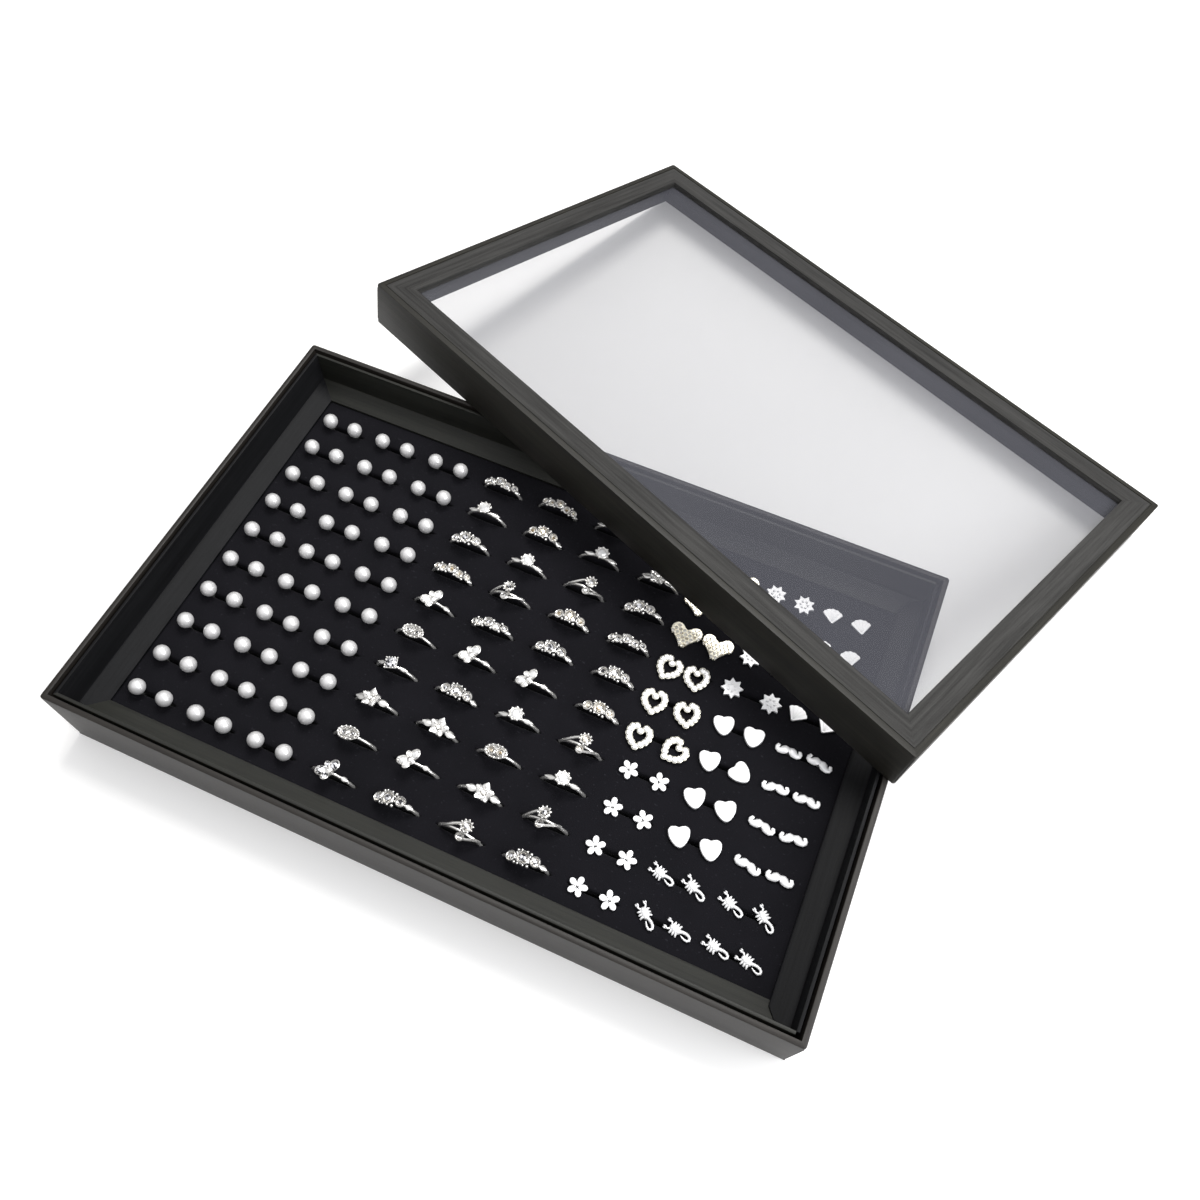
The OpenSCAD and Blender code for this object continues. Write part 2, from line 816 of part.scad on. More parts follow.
floor_board();
wall_board();
corner_stays();
base_wrap();
bottom_paper();
floor_paper();
foam_pad();
velvet_face();
collar_front();
collar_back();
collar_left();
collar_right();
lid_skirt_board();
lid_top_board();
lid_corner_stays();
lid_skirt_wrap();
lid_top_wrap();
window_film();
film_tape();
pearl_beads();
pearl_posts();
ring_bands();
ring_stones();
flower_studs();
heart_studs();
open_heart_studs();
open_heart_stones();
pave_heart_studs();
pave_heart_stones();
moustache_studs();
scorpion_studs();
starburst_studs();
fan_studs();
front_ring(1);  // ring_1
front_ring_stones(1);  // ring_1_stones
front_ring(2);  // ring_2
front_ring_stones(2);  // ring_2_stones
front_ring(3);  // ring_3
front_ring_stones(3);  // ring_3_stones
front_ring(4);  // ring_4
front_ring_stones(4);  // ring_4_stones
front_pearl(-1);  // pearl_stud_1_bead
front_pearl_post(-1);  // pearl_stud_1_post
front_pearl(1);  // pearl_stud_2_bead
front_pearl_post(1);  // pearl_stud_2_post
front_flower(-1);  // flower_stud_1
front_flower(1);  // flower_stud_2
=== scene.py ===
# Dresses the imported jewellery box: embossed paper, velvet pad, clear window, pearls,
# rings and studs. Sizes are millimetres in the script and metres in the scene.
import math

import bmesh
import bpy
from mathutils import Matrix, Vector


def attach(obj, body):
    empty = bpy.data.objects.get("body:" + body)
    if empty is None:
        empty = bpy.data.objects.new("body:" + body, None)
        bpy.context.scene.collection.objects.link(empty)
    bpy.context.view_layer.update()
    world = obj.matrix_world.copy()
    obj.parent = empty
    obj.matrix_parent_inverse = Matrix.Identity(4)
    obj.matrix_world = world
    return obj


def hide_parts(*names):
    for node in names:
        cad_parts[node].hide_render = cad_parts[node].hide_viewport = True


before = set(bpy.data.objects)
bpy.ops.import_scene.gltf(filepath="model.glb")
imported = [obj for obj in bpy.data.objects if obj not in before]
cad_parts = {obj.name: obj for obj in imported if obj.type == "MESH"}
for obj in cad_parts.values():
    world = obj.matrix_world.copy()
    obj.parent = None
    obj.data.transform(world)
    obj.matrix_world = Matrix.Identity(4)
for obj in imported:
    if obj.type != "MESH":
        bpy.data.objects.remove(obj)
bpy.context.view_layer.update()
MM = 0.001

# ---------- sizes shared with the solids, in millimetres ----------
TRAY_L, TRAY_W, TRAY_H = 230, 148, 28
PAPER = 0.3
CLEAR = 0.8                             # between tray and lid, and between tray and collar
WALL = 1.1 + 2 * PAPER                  # a covered board wall of the tray
TURN_IN = 15
OUT_CORNER = 0.9
COLLAR_X = TRAY_L / 2 - WALL - CLEAR    # outer faces of the collar
COLLAR_Y = TRAY_W / 2 - WALL - CLEAR
COLLAR_T = 1.0
COLLAR_TOP = TRAY_H - 0.8
COLLAR_FOOT = 1.9
FLANGE_W, FLANGE_T, FLANGE_RISE = 6.8, 0.9, 1.7
FLANGE_LIFT = 0.1                       # flange edge above the velvet
LAP = FLANGE_T + 0.2                    # the right collar lies over its neighbours
PAD_Z = 13.0
VELVET_T = 0.6
PITCH_X, PITCH_Y = 20.7, 12.4
GRID_X, GRID_Y = -1.0, -1.5             # middle of the slit grid
COLS = ROWS = 10
LID_WALL = 1.2 + 2 * PAPER
LID_L = TRAY_L + 2 * (CLEAR + LID_WALL)
LID_W = TRAY_W + 2 * (CLEAR + LID_WALL)
LID_H = 16
SHOULDER, SEAM, BORDER = 2, 0.35, 9.9   # turned skirt paper, seam, width of the window frame
FILM_TOP = 13.9
LID_YAW = -23
REST_GAP = 0.02
LID_REST = (TRAY_L / 2 + 0.5, 3.2, TRAY_H + REST_GAP)
RING_R, RING_Z = 7.7, 9.7
RING_COLS = range(3, 7)
STUD_X, STUD_Z = 4.8, PAD_Z + 0.3
POST = [(0.0, -8.0), (0.25, -7.9), (0.4, -7.4)]     # radius and height, from the post's tip
PEARL_R = 2.5

# What stands in each slit, from the front row to the back row: P pearl studs,
# rings b butterfly, o oval, s star, q cushion, e row, t three-stone, r round, y bypass,
# studs F flower, S scorpion, H heart, O open heart, V pave heart, M moustache,
# X starburst, D fan.
PLAN = ["PPPbtytFSS",
        "PPPobsyFSS",
        "PPPssorFHM",
        "PPPqtryFHM",
        "PPPobbtOHM",
        "PPPbettOHM",
        "PPPeyteOXD",
        "PPPtrytVXD",
        "PPPrtrsVXD",
        "PPPeertVXD"]
PEARL_COL, FLOWER_COL = 0, 7            # pairs of the front row that lift out


def moved(x, y, z):
    return Matrix.Translation((x, y, z))


def turned(degrees, axis="Z"):
    return Matrix.Rotation(math.radians(degrees), 4, axis)


LID_TILT = math.degrees(math.asin((TRAY_H + REST_GAP) / (LID_W - LID_WALL)))
LID_PLACE = (moved(*LID_REST) @ turned(LID_YAW) @ turned(-LID_TILT, "X")
             @ moved(LID_WALL - LID_L / 2, LID_W / 2 - LID_WALL, 0))


def slit_x(c):
    return (c - (COLS - 1) / 2) * PITCH_X + GRID_X


def slit_y(r):
    return (r - (ROWS - 1) / 2) * PITCH_Y + GRID_Y


def sway(c, r, k):
    """The same unevenness as the solids have, from -1 to 1."""
    return math.sin(math.radians(137 * c + 61 * r + 223 * k))


# ---------- node trees ----------

class Wire:
    """A socket that can be used in sums."""

    def __init__(self, nodes, socket):
        self.nodes, self.socket = nodes, socket

    def sum(self, op, a, b):
        return self.nodes.node("ShaderNodeMath", {0: a, 1: b}, operation=op)[0]

    def __add__(self, other):
        return self.sum("ADD", self, other)

    def __radd__(self, other):
        return self.sum("ADD", other, self)

    def __sub__(self, other):
        return self.sum("SUBTRACT", self, other)

    def __rsub__(self, other):
        return self.sum("SUBTRACT", other, self)

    def __mul__(self, other):
        return self.sum("MULTIPLY", self, other)

    def __rmul__(self, other):
        return self.sum("MULTIPLY", other, self)

    def clamp(self):
        return self.sum("MINIMUM", self.sum("MAXIMUM", self, 0.0), 1.0)


class Outputs:
    """A node's outputs as wires, by number or name."""

    def __init__(self, nodes, made):
        self.nodes, self.made = nodes, made

    def __getitem__(self, key):
        return Wire(self.nodes, self.made.outputs[key])


class Nodes:
    """A node tree under construction."""

    def __init__(self, tree):
        self.tree = tree
        tree.nodes.clear()

    def node(self, kind, values=None, **settings):
        """Adds a node with its settings, then the values or wires of its sockets."""
        made = self.tree.nodes.new(kind)
        for key, value in settings.items():
            if key == "stops":
                self.set_stops(made.color_ramp, value)
            else:
                setattr(made, key, value)
        for key, value in (values or {}).items():
            socket = made.inputs[key]
            if isinstance(value, Wire):
                self.tree.links.new(value.socket, socket)
            elif isinstance(value, tuple) and socket.type == "RGBA":
                socket.default_value = (*value, 1)
            else:
                socket.default_value = value
        return Outputs(self, made)

    def set_stops(self, ramp, stops):
        while len(ramp.elements) < len(stops):
            ramp.elements.new(0.5)
        for element, (at, shade) in zip(ramp.elements, stops):
            element.position = at
            element.color = (*(shade if isinstance(shade, tuple) else (shade,) * 3), 1)

    def mix(self, factor, a, b):
        return self.node("ShaderNodeMix", {0: factor, 6: a, 7: b}, data_type="RGBA")[2]

    def ramp(self, factor, stops):
        return self.node("ShaderNodeValToRGB", {0: factor}, stops=stops)[0]


class Finish(Nodes):
    """A material under construction."""

    def __init__(self, name):
        self.material = bpy.data.materials.new(name)
        self.material.use_nodes = True
        super().__init__(self.material.node_tree)

    def where(self, scale=(1, 1, 1), uv=False):
        """Object or UV coordinates, stretched by scale."""
        out = self.node("ShaderNodeTexCoord")["UV" if uv else "Object"]
        return self.node("ShaderNodeMapping", {"Vector": out, "Scale": scale})[0]

    def noise(self, vector, scale, detail, rough):
        return self.node("ShaderNodeTexNoise", {"Vector": vector, "Scale": scale,
                                                "Detail": detail, "Roughness": rough})["Fac"]

    def bump(self, height, strength, distance, normal=None):
        values = {"Height": height, "Strength": strength, "Distance": distance}
        if normal is not None:
            values["Normal"] = normal
        return self.node("ShaderNodeBump", values)[0]

    def shade(self, **values):
        """The surface shader, ending the material."""
        names = {"color": "Base Color", "rough": "Roughness", "metal": "Metallic",
                 "normal": "Normal", "alpha": "Alpha", "coat": "Coat Weight",
                 "coat_rough": "Coat Roughness", "sheen": "Sheen Weight",
                 "sheen_rough": "Sheen Roughness", "specular": "Specular IOR Level"}
        return self.end(self.node("ShaderNodeBsdfPrincipled", {names[k]: v for k, v in values.items()})[0])

    def end(self, shader):
        self.node("ShaderNodeOutputMaterial", {"Surface": shader})
        return self.material


class Pattern(Nodes):
    """A Geometry Nodes tree under construction, with named inputs."""

    def __init__(self, name, inputs):
        tree = bpy.data.node_groups.new(name, "GeometryNodeTree")
        for label, kind in [("Geometry", "Geometry"), *inputs, ("Finish", "Material")]:
            tree.interface.new_socket(label, in_out="INPUT", socket_type="NodeSocket" + kind)
        tree.interface.new_socket("Geometry", in_out="OUTPUT", socket_type="NodeSocketGeometry")
        super().__init__(tree)
        self.given = self.node("NodeGroupInput")

    def end(self, shape):
        values = {"Geometry": shape, "Material": self.given["Finish"]}
        done = self.node("GeometryNodeSetMaterial", values)[0]
        self.node("NodeGroupOutput", {0: done})
        return self.tree


# ---------- finishes ----------

ALONG = (0.03, 1, 1)


def streaked_paper(name, dark, light, specular=0.35, along=ALONG, uv=True):
    """Black covering paper embossed with fine streaks along its length."""
    f = Finish(name)
    place, plain = f.where(along, uv), f.where((1, 1, 1), uv)
    fine = f.noise(place, 900, 4, 0.7)
    coarse = f.noise(place, 160, 2, 0.5)
    cloud = f.noise(plain, 25, 2, 0.5)
    fleck = f.noise(plain, 2600, 2, 0.8)
    tone = fine * 0.45 + coarse * 0.25 + fleck * 0.2 + cloud * 0.1
    colour = f.mix(f.ramp(tone, [(0.38, 0.0), (0.66, 1.0)]), dark, light)
    grain = f.bump(fine * 0.6 + fleck * 0.4, 0.55, 0.00012)
    return f.shade(color=colour, rough=tone * 0.16 + 0.42, normal=f.bump(coarse, 0.25, 0.0004, grain),
                   specular=specular)


def velvet_pile(name):
    """Black flocked velvet with stray lint."""
    f = Finish(name)
    place = f.where()
    pile = f.noise(place, 2600, 3, 0.7)
    patch = f.noise(place, 55, 3, 0.6)
    lint = f.ramp(f.noise(f.where((1, 1.9, 1)), 900, 1, 0.5), [(0.70, 0.0), (0.78, 1.0)])
    base = f.mix(patch, (0.0042, 0.0042, 0.0056), (0.009, 0.0085, 0.0113))
    return f.shade(color=f.mix(lint * 0.12, base, (0.10, 0.10, 0.12)), rough=0.95, specular=0.12,
                   normal=f.bump(pile, 0.7, 0.0003), sheen=0.05, sheen_rough=0.35)


def raw_board(name, tint):
    """Bare fibres: board, foam or gummed tape."""
    f = Finish(name)
    fibre = f.noise(f.where(), 900, 4, 0.7)
    return f.shade(color=f.mix(fibre, tuple(0.75 * v for v in tint), tint), rough=0.9,
                   normal=f.bump(fibre, 0.5, 0.0002))


def bright_metal(name, colour, worn, rough, metal):
    """Plated casting metal with tiny polishing marks."""
    f = Finish(name)
    place = f.where()
    mark = f.noise(place, 1400, 3, 0.7)
    patch = f.noise(place, 260, 2, 0.5)
    return f.shade(color=f.mix(patch * 0.7, colour, worn), metal=metal,
                   rough=rough + mark * 0.12, normal=f.bump(mark, 0.25, 0.00006))


def stone_with_painted_flashes(name, pale, deep, share):
    """Foil-backed crystal with painted reflections: light and dark patches painted into the colour stand for
    the flashes from facet to facet.
    """
    f = Finish(name)
    # Painted reflection: random cells, not the stone's own facets, mix a light glint colour and a dark
    # reflection colour into the base colour.
    facet = f.node("ShaderNodeTexVoronoi", {"Vector": f.where(), "Scale": 1500.0})["Color"]
    painted_flash = f.node("ShaderNodeSeparateColor", {0: facet})[0]
    colour = f.mix(f.ramp(painted_flash, [(share - 0.15, 0.0), (share + 0.15, 1.0)]), deep, pale)
    return f.shade(color=colour, metal=0.45, rough=0.12, coat=1.0, coat_rough=0.03)


def pearl_lustre(name):
    """Imitation pearl: a soft sheen under a thin coat."""
    f = Finish(name)
    layer = f.noise(f.where(), 420, 3, 0.5)
    return f.shade(color=f.mix(layer, (0.76, 0.755, 0.76), (0.86, 0.85, 0.84)), metal=0.4, rough=0.3,
                   coat=0.35, coat_rough=0.12, normal=f.bump(layer, 0.1, 0.0001))


def clear_film(name):
    """Clear window film: a faint cool veil with soft waves."""
    f = Finish(name)
    wave = f.noise(f.where(), 14, 2, 0.4)
    return f.shade(color=f.mix(wave, (0.132, 0.135, 0.163), (0.180, 0.183, 0.212)), rough=0.08,
                   alpha=wave * 0.05 + 0.185, normal=f.bump(wave, 0.12, 0.002))


FINISHES = {
    "tray_paper": streaked_paper("tray paper", (0.0068, 0.0056, 0.0045), (0.0232, 0.0192, 0.0158), 0.38),
    "lid_paper": streaked_paper("lid paper", (0.007, 0.0065, 0.0052), (0.030, 0.028, 0.021)),
    # Painted sheen: the same black paper as the lid paper, made about three times lighter and almost without
    # gloss, because the top faces the light.
    "lid_top_paper": streaked_paper("lid top paper", (0.0215, 0.0211, 0.0204), (0.072, 0.0707, 0.068), 0.08),
    # Painted sheen and shade: collar paper and side collar paper are copies of one paper; the front and back
    # strips' lighter olive tone is painted sheen, the side strips' darker, cooler tone painted shade.
    "collar_paper": streaked_paper("collar paper", (0.0067, 0.0069, 0.0057), (0.023, 0.0238, 0.0184)),
    "side_collar_paper": streaked_paper("side collar paper", (0.005, 0.0051, 0.0056),
                                        (0.013, 0.0133, 0.0147), 0.1),
    "flat_paper": streaked_paper("flat paper", (0.010, 0.010, 0.010), (0.03, 0.03, 0.028),
                                 along=(1, 0.05, 1), uv=False),
    "velvet": velvet_pile("velvet pile"),
    "foam": raw_board("dark foam", (0.01, 0.01, 0.011)),
    "board": raw_board("grey board", (0.32, 0.30, 0.27)),
    "stay": raw_board("gummed tape", (0.025, 0.024, 0.023)),
    "silver": bright_metal("silver plate", (0.93, 0.92, 0.90), (0.80, 0.78, 0.74), 0.18, 0.85),
    "white_silver": bright_metal("bright silver", (0.92, 0.92, 0.925), (0.78, 0.78, 0.79), 0.4, 0.45),
    "pale_gilt": bright_metal("pale plate", (0.95, 0.93, 0.84), (0.85, 0.80, 0.62), 0.25, 0.6),
    "gilt": bright_metal("pale gilt", (0.97, 0.93, 0.80), (0.90, 0.83, 0.64), 0.25, 0.6),
    "crystal": stone_with_painted_flashes("crystal", (0.92, 0.92, 0.95), (0.02, 0.02, 0.025), 0.5),
    "white_crystal": stone_with_painted_flashes("bright crystal", (0.99, 0.99, 0.99), (0.78, 0.78, 0.77), 0.25),
    "champagne": stone_with_painted_flashes("champagne crystal", (0.99, 0.94, 0.82), (0.30, 0.22, 0.12), 0.45),
    "cream_crystal": stone_with_painted_flashes("cream crystal", (1.0, 0.97, 0.90), (0.62, 0.55, 0.40), 0.35),
    "pearl": pearl_lustre("pearl lustre"),
    "film": clear_film("window film"),
}


# ---------- mesh helpers ----------

def placed(name, data):
    """A new object in the scene."""
    made = bpy.data.objects.new(name, data)
    bpy.context.scene.collection.objects.link(made)
    return made


def made_plain(host):
    """The plain mesh of an object with its modifiers or bevels done; the object is removed."""
    bpy.context.view_layer.update()
    mesh = bpy.data.meshes.new_from_object(host.evaluated_get(bpy.context.evaluated_depsgraph_get()))
    host.modifiers.clear()
    bpy.data.objects.remove(host)
    return mesh


def paint(mesh, finish):
    mesh.materials.clear()
    mesh.materials.append(FINISHES[finish])


def finished(name, mesh, finish, body, solid, smooth=None):
    """Makes a mesh a piece that rides on a body and stands in for a plain solid."""
    piece = placed(name, mesh)
    mesh.name = name
    paint(mesh, finish)
    if smooth is not None:
        soften(mesh, smooth)
    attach(piece, body)
    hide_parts(solid)


def opened(*meshes):
    """Meshes as one shape that can be worked on."""
    work = bmesh.new()
    for mesh in meshes:
        work.from_mesh(mesh)
    return work


def written(work, mesh=None):
    """Writes a shape to a mesh, a new one unless it is given."""
    mesh = mesh or bpy.data.meshes.new("shape")
    work.to_mesh(mesh)
    work.free()
    return mesh


def soften(mesh, degrees):
    """Smooth shading, with an edge kept where faces turn by more than degrees."""
    for face in mesh.polygons:
        face.use_smooth = True
    work = opened(mesh)
    limit = math.radians(degrees)
    for edge in work.edges:
        edge.smooth = len(edge.link_faces) == 2 and edge.calc_face_angle(0) < limit
    written(work, mesh)


def to_mesh(work, place=None):
    """The mesh of a shape in millimetres, put in its place and brought to metres."""
    if place is not None:
        bmesh.ops.transform(work, matrix=place, verts=work.verts)
    bmesh.ops.scale(work, vec=(MM, MM, MM), verts=work.verts)
    return written(work)


def cast(work, place=None):
    """The mesh of closed shapes, with their faces turned outwards."""
    bmesh.ops.recalc_face_normals(work, faces=work.faces)
    return to_mesh(work, place)


def folded(work, place=None):
    """The mesh of a paper or card strip, without doubled points."""
    bmesh.ops.remove_doubles(work, verts=work.verts, dist=1e-4)
    bmesh.ops.dissolve_degenerate(work, edges=work.edges, dist=1e-4)
    return cast(work, place)


def face_up(work):
    """Turns the faces of an open sheet upwards."""
    bmesh.ops.recalc_face_normals(work, faces=work.faces)
    if sum(f.normal.z * f.calc_area() for f in work.faces) < 0:
        bmesh.ops.reverse_faces(work, faces=work.faces)


def circle(count, shift=0.0):
    """Cosine and sine of even steps round a circle, shifted by a share of a step."""
    return [(math.cos(a), math.sin(a)) for a in (2 * math.pi * (k + shift) / count for k in range(count))]


def running(points):
    """Distances from the first point round a closed outline and back to it."""
    out = [0.0]
    for p, q in zip(points, points[1:] + points[:1]):
        out.append(out[-1] + math.dist(p, q))
    return out


def skin(work, rows, closed_row=True, closed_path=False, uv_of=None):
    """Quads between rows of points; uv_of(row, column) gives a UV in metres."""
    verts = [[work.verts.new(p) for p in row] for row in rows]
    layer = work.loops.layers.uv.verify()
    count = len(rows)
    width = len(rows[0])
    for i in range(count if closed_path else count - 1):
        for j in range(width if closed_row else width - 1):
            ids = [(i, j), (i + 1, j), (i + 1, j + 1), (i, j + 1)]
            face = work.faces.new([verts[a % count][b % width] for a, b in ids])
            if uv_of:
                for loop, (a, b) in zip(face.loops, ids):
                    loop[layer].uv = uv_of(a, b)
    return verts


def round_frame(section, length, width, radius):
    """A closed section of (inset, height) carried round a rectangle with soft corners."""
    work = bmesh.new()
    arc, steps = (4 if radius else 1), 24
    path = []
    for k in range(4):
        path += [("corner", k, i / arc) for i in range(arc + 1)]
        path += [("side", k, i / steps) for i in range(1, steps)]
    signs = [(1, 1), (-1, 1), (-1, -1), (1, -1)]

    def corner(k, t, inset):
        sx, sy = signs[k % 4]
        back = max(radius, inset)
        turn = math.radians(90 * (k + t))
        rad = max(radius - inset, 0.0)
        return Vector((sx * (length / 2 - back) + rad * math.cos(turn),
                       sy * (width / 2 - back) + rad * math.sin(turn)))

    def at(entry, inset, z):
        kind, k, t = entry
        if kind == "corner":
            return Vector((*corner(k, t, inset), z))
        return Vector((*corner(k, 1, inset).lerp(corner(k + 1, 0, inset), t), z))

    rows = [[at(entry, d, z) for d, z in section] for entry in path]
    run, across = running([at(entry, 0, 0) for entry in path]), running(section)
    skin(work, rows, True, True, lambda i, j: (run[i] * MM, across[j] * MM))
    return work


def edge_round(points):
    """Rounds the corners of a closed section."""
    radius, steps = 0.28, 2
    out = []
    n = len(points)
    for i, p in enumerate(points):
        p = Vector(p)
        a, b = Vector(points[i - 1]) - p, Vector(points[(i + 1) % n]) - p
        r = min(radius, a.length * 0.45, b.length * 0.45)
        start, end = p + a.normalized() * r, p + b.normalized() * r
        for k in range(steps + 1):
            t = k / steps
            out.append(tuple(start.lerp(p, t).lerp(p.lerp(end, t), t)))
    return out


def strip(section, start, stop, side):
    """A section carried along a straight side; start and stop give where each
    inset begins and ends. side turns (along, inset, height) to a place."""
    steps = 40
    work = bmesh.new()
    rows = []
    for i in range(steps + 1):
        t = i / steps
        rows.append([side(start(d) * (1 - t) + stop(d) * t, d, z) for d, z in section])
    span = (stop(0) - start(0)) / steps * MM
    across = running(section)
    verts = skin(work, rows, True, False, lambda i, j: (span * i, across[j] * MM))
    for ring in (verts[0], verts[-1]):
        face = work.faces.new(ring)
        bmesh.ops.triangulate(work, faces=[face])
    return work


def tube(work, points, radii, sides, flat=1.0):
    """A round rod along points; flat squeezes it in Z."""
    points = [Vector(p) for p in points]
    last = len(points) - 1
    rows = []
    for i, p in enumerate(points):
        ahead = (points[min(i + 1, last)] - points[max(i - 1, 0)]).normalized()
        side = ahead.cross(Vector((0, 0, 1)))
        if side.length < 1e-3:
            side = ahead.cross(Vector((0, 1, 0)))
        side.normalize()
        up = side.cross(ahead).normalized()
        r = radii[i] if isinstance(radii, list) else radii
        rows.append([p + r * (side * c + up * s * flat) for c, s in circle(sides)])
    closed(work, rows)


def closed(work, rows):
    """Skins rows of points and shuts both ends."""
    verts = skin(work, rows)
    work.faces.new(verts[0])
    work.faces.new(verts[-1])


def lump(work, centre, size, rings=6, sides=10, place=None):
    """A smooth ellipsoid."""
    made = bmesh.ops.create_uvsphere(work, u_segments=sides, v_segments=rings, radius=1.0)["verts"]
    matrix = moved(*centre) @ (place or Matrix.Identity(4)) @ Matrix.Diagonal((*size, 1))
    bmesh.ops.transform(work, matrix=matrix, verts=made)


def lathe(work, profile, sides, place=None):
    """Turns (radius, height) points about Z."""
    place = place or Matrix.Identity(4)
    rows = [[place @ Vector((r * c, r * s, z)) for r, z in profile] for c, s in circle(sides)]
    verts = skin(work, rows, False, True)
    for end in (0, -1):
        if profile[end][0] > 1e-4:
            work.faces.new([row[end] for row in verts])


def on_top(angle, side, lift, spin=0, lean=0):
    """A place on a ring's band: turned along it from its top, beside it, above it."""
    return turned(angle, "Y") @ moved(0, side, RING_R + lift) @ turned(lean, "X") @ turned(spin)


def gem(work, place, sides, rx, ry=None):
    """A cut stone with table, crown and girdle, its girdle at z 0."""
    ry = ry or rx
    size = min(rx, ry)
    levels = [(1.0, -0.12, 0), (1.0, 0.05, 0), (0.82, 0.26, 0.5), (0.55, 0.42, 0)]
    foot, girdle, crown, table = [
        [work.verts.new(place @ Vector((rx * grow * c, ry * grow * s, z * size)))
         for c, s in circle(sides, shift)] for grow, z, shift in levels]
    for k in range(sides):
        n = (k + 1) % sides
        for corners in ((foot[k], foot[n], girdle[n], girdle[k]),
                        (girdle[k], girdle[n], crown[k]), (girdle[n], crown[n], crown[k]),
                        (crown[k], table[n], table[k]), (crown[k], crown[n], table[n])):
            work.faces.new(corners)
    work.faces.new(table)
    work.faces.new(foot[::-1])


# ---------- paper, board and velvet ----------

SOFT = 0.1      # how far a folded edge of paper is rounded
PLAIN = {"board": ("floor_board", "wall_board", "lid_skirt_board", "lid_top_board"),
         "flat_paper": ("floor_paper", "bottom_paper", "film_tape"),
         "stay": ("corner_stays", "lid_corner_stays"), "foam": ("foam_pad",), "film": ("window_film",)}


def plain_solids():
    """Finishes of the solids that stay as they are."""
    for finish, names in PLAIN.items():
        for name in names:
            paint(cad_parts[name].data, finish)


def cover(name, section, size, radius, finish, body, solid, place=None):
    """Embossed paper folded round a box; its section is (inset, height) points."""
    work = round_frame(section, *size, radius)
    finished(name, folded(work, place), finish, body, solid, 40)


def tray_cover():
    """Paper over the tray's walls, over the rim and down inside."""
    edge = 0.35
    cover("tray_cover",
          [(0, PAPER), (0, TRAY_H - edge), (SOFT, TRAY_H - SOFT), (edge, TRAY_H),
           (WALL - edge, TRAY_H), (WALL - SOFT, TRAY_H - SOFT), (WALL, TRAY_H - edge),
           (WALL, TRAY_H - TURN_IN), (WALL - PAPER, TRAY_H - TURN_IN),
           (WALL - PAPER, TRAY_H - PAPER), (PAPER, TRAY_H - PAPER), (PAPER, PAPER)],
          (TRAY_L, TRAY_W), OUT_CORNER, "tray_paper", "tray", "base_wrap")


def lid_covers():
    """Paper over the lid's skirt, and the top sheet that turns in at the window."""
    edge, dip, board = 0.3, 0.08, LID_H - PAPER
    seam_floor = board + 0.06
    tucked = SHOULDER + SEAM + 0.2
    paper_end = 14.2    # the skirt's paper ends here inside, under the top board
    cover("lid_skirt_cover",
          [(0, edge), (0, LID_H - edge), (SOFT, LID_H - dip), (edge, LID_H), (SHOULDER, LID_H),
           (SHOULDER, seam_floor), (tucked, seam_floor), (tucked, board), (PAPER, board),
           (PAPER, PAPER), (LID_WALL - PAPER, PAPER), (LID_WALL - PAPER, paper_end),
           (LID_WALL, paper_end), (LID_WALL, edge), (LID_WALL - SOFT, dip), (LID_WALL - edge, 0),
           (edge, 0), (SOFT, dip)],
          (LID_L, LID_W), OUT_CORNER, "lid_paper", "lid", "lid_skirt_wrap", LID_PLACE)
    start = SHOULDER + SEAM
    hem = BORDER - 6
    # The top sheet takes the lighter copy of the lid paper, whose lightness is painted sheen.
    cover("lid_top_cover",
          [(start, board), (start, LID_H - 0.06), (start + 0.12, LID_H), (BORDER - 0.5, LID_H),
           (BORDER - 0.12, LID_H - SOFT), (BORDER, LID_H - 0.45), (BORDER, FILM_TOP), (hem, FILM_TOP),
           (hem, FILM_TOP + PAPER), (BORDER - PAPER, FILM_TOP + PAPER), (BORDER - PAPER, board)],
          (LID_L, LID_W), 0, "lid_top_paper", "lid", "lid_top_wrap", LID_PLACE)


def collar_section(lift):
    """An upright card with a flange that slopes down to the velvet, or to lift above it."""
    edge = PAD_Z + FLANGE_LIFT + lift
    tip = COLLAR_T + FLANGE_W
    return edge_round([(0, COLLAR_FOOT), (0, COLLAR_TOP), (COLLAR_T, COLLAR_TOP),
                       (COLLAR_T, edge + FLANGE_RISE + FLANGE_T), (tip, edge + FLANGE_T), (tip, edge),
                       (COLLAR_T, edge + FLANGE_RISE), (COLLAR_T, COLLAR_FOOT)])


def collar(side, work, finish):
    finished(f"{side}_collar", folded(work), finish, "tray", f"collar_{side}", 35)


def clipped_end(d):
    """Where the right collar ends, at an inset: its flange is cut back, most towards its tip."""
    card_back, flange_back, slant, clip = 0.9, 1.6, 0.5, 8.2
    if d <= COLLAR_T:
        return COLLAR_Y - card_back
    reach = (d - COLLAR_T) / FLANGE_W
    return COLLAR_Y - flange_back - slant * reach - clip * max(0.0, reach - 0.5)


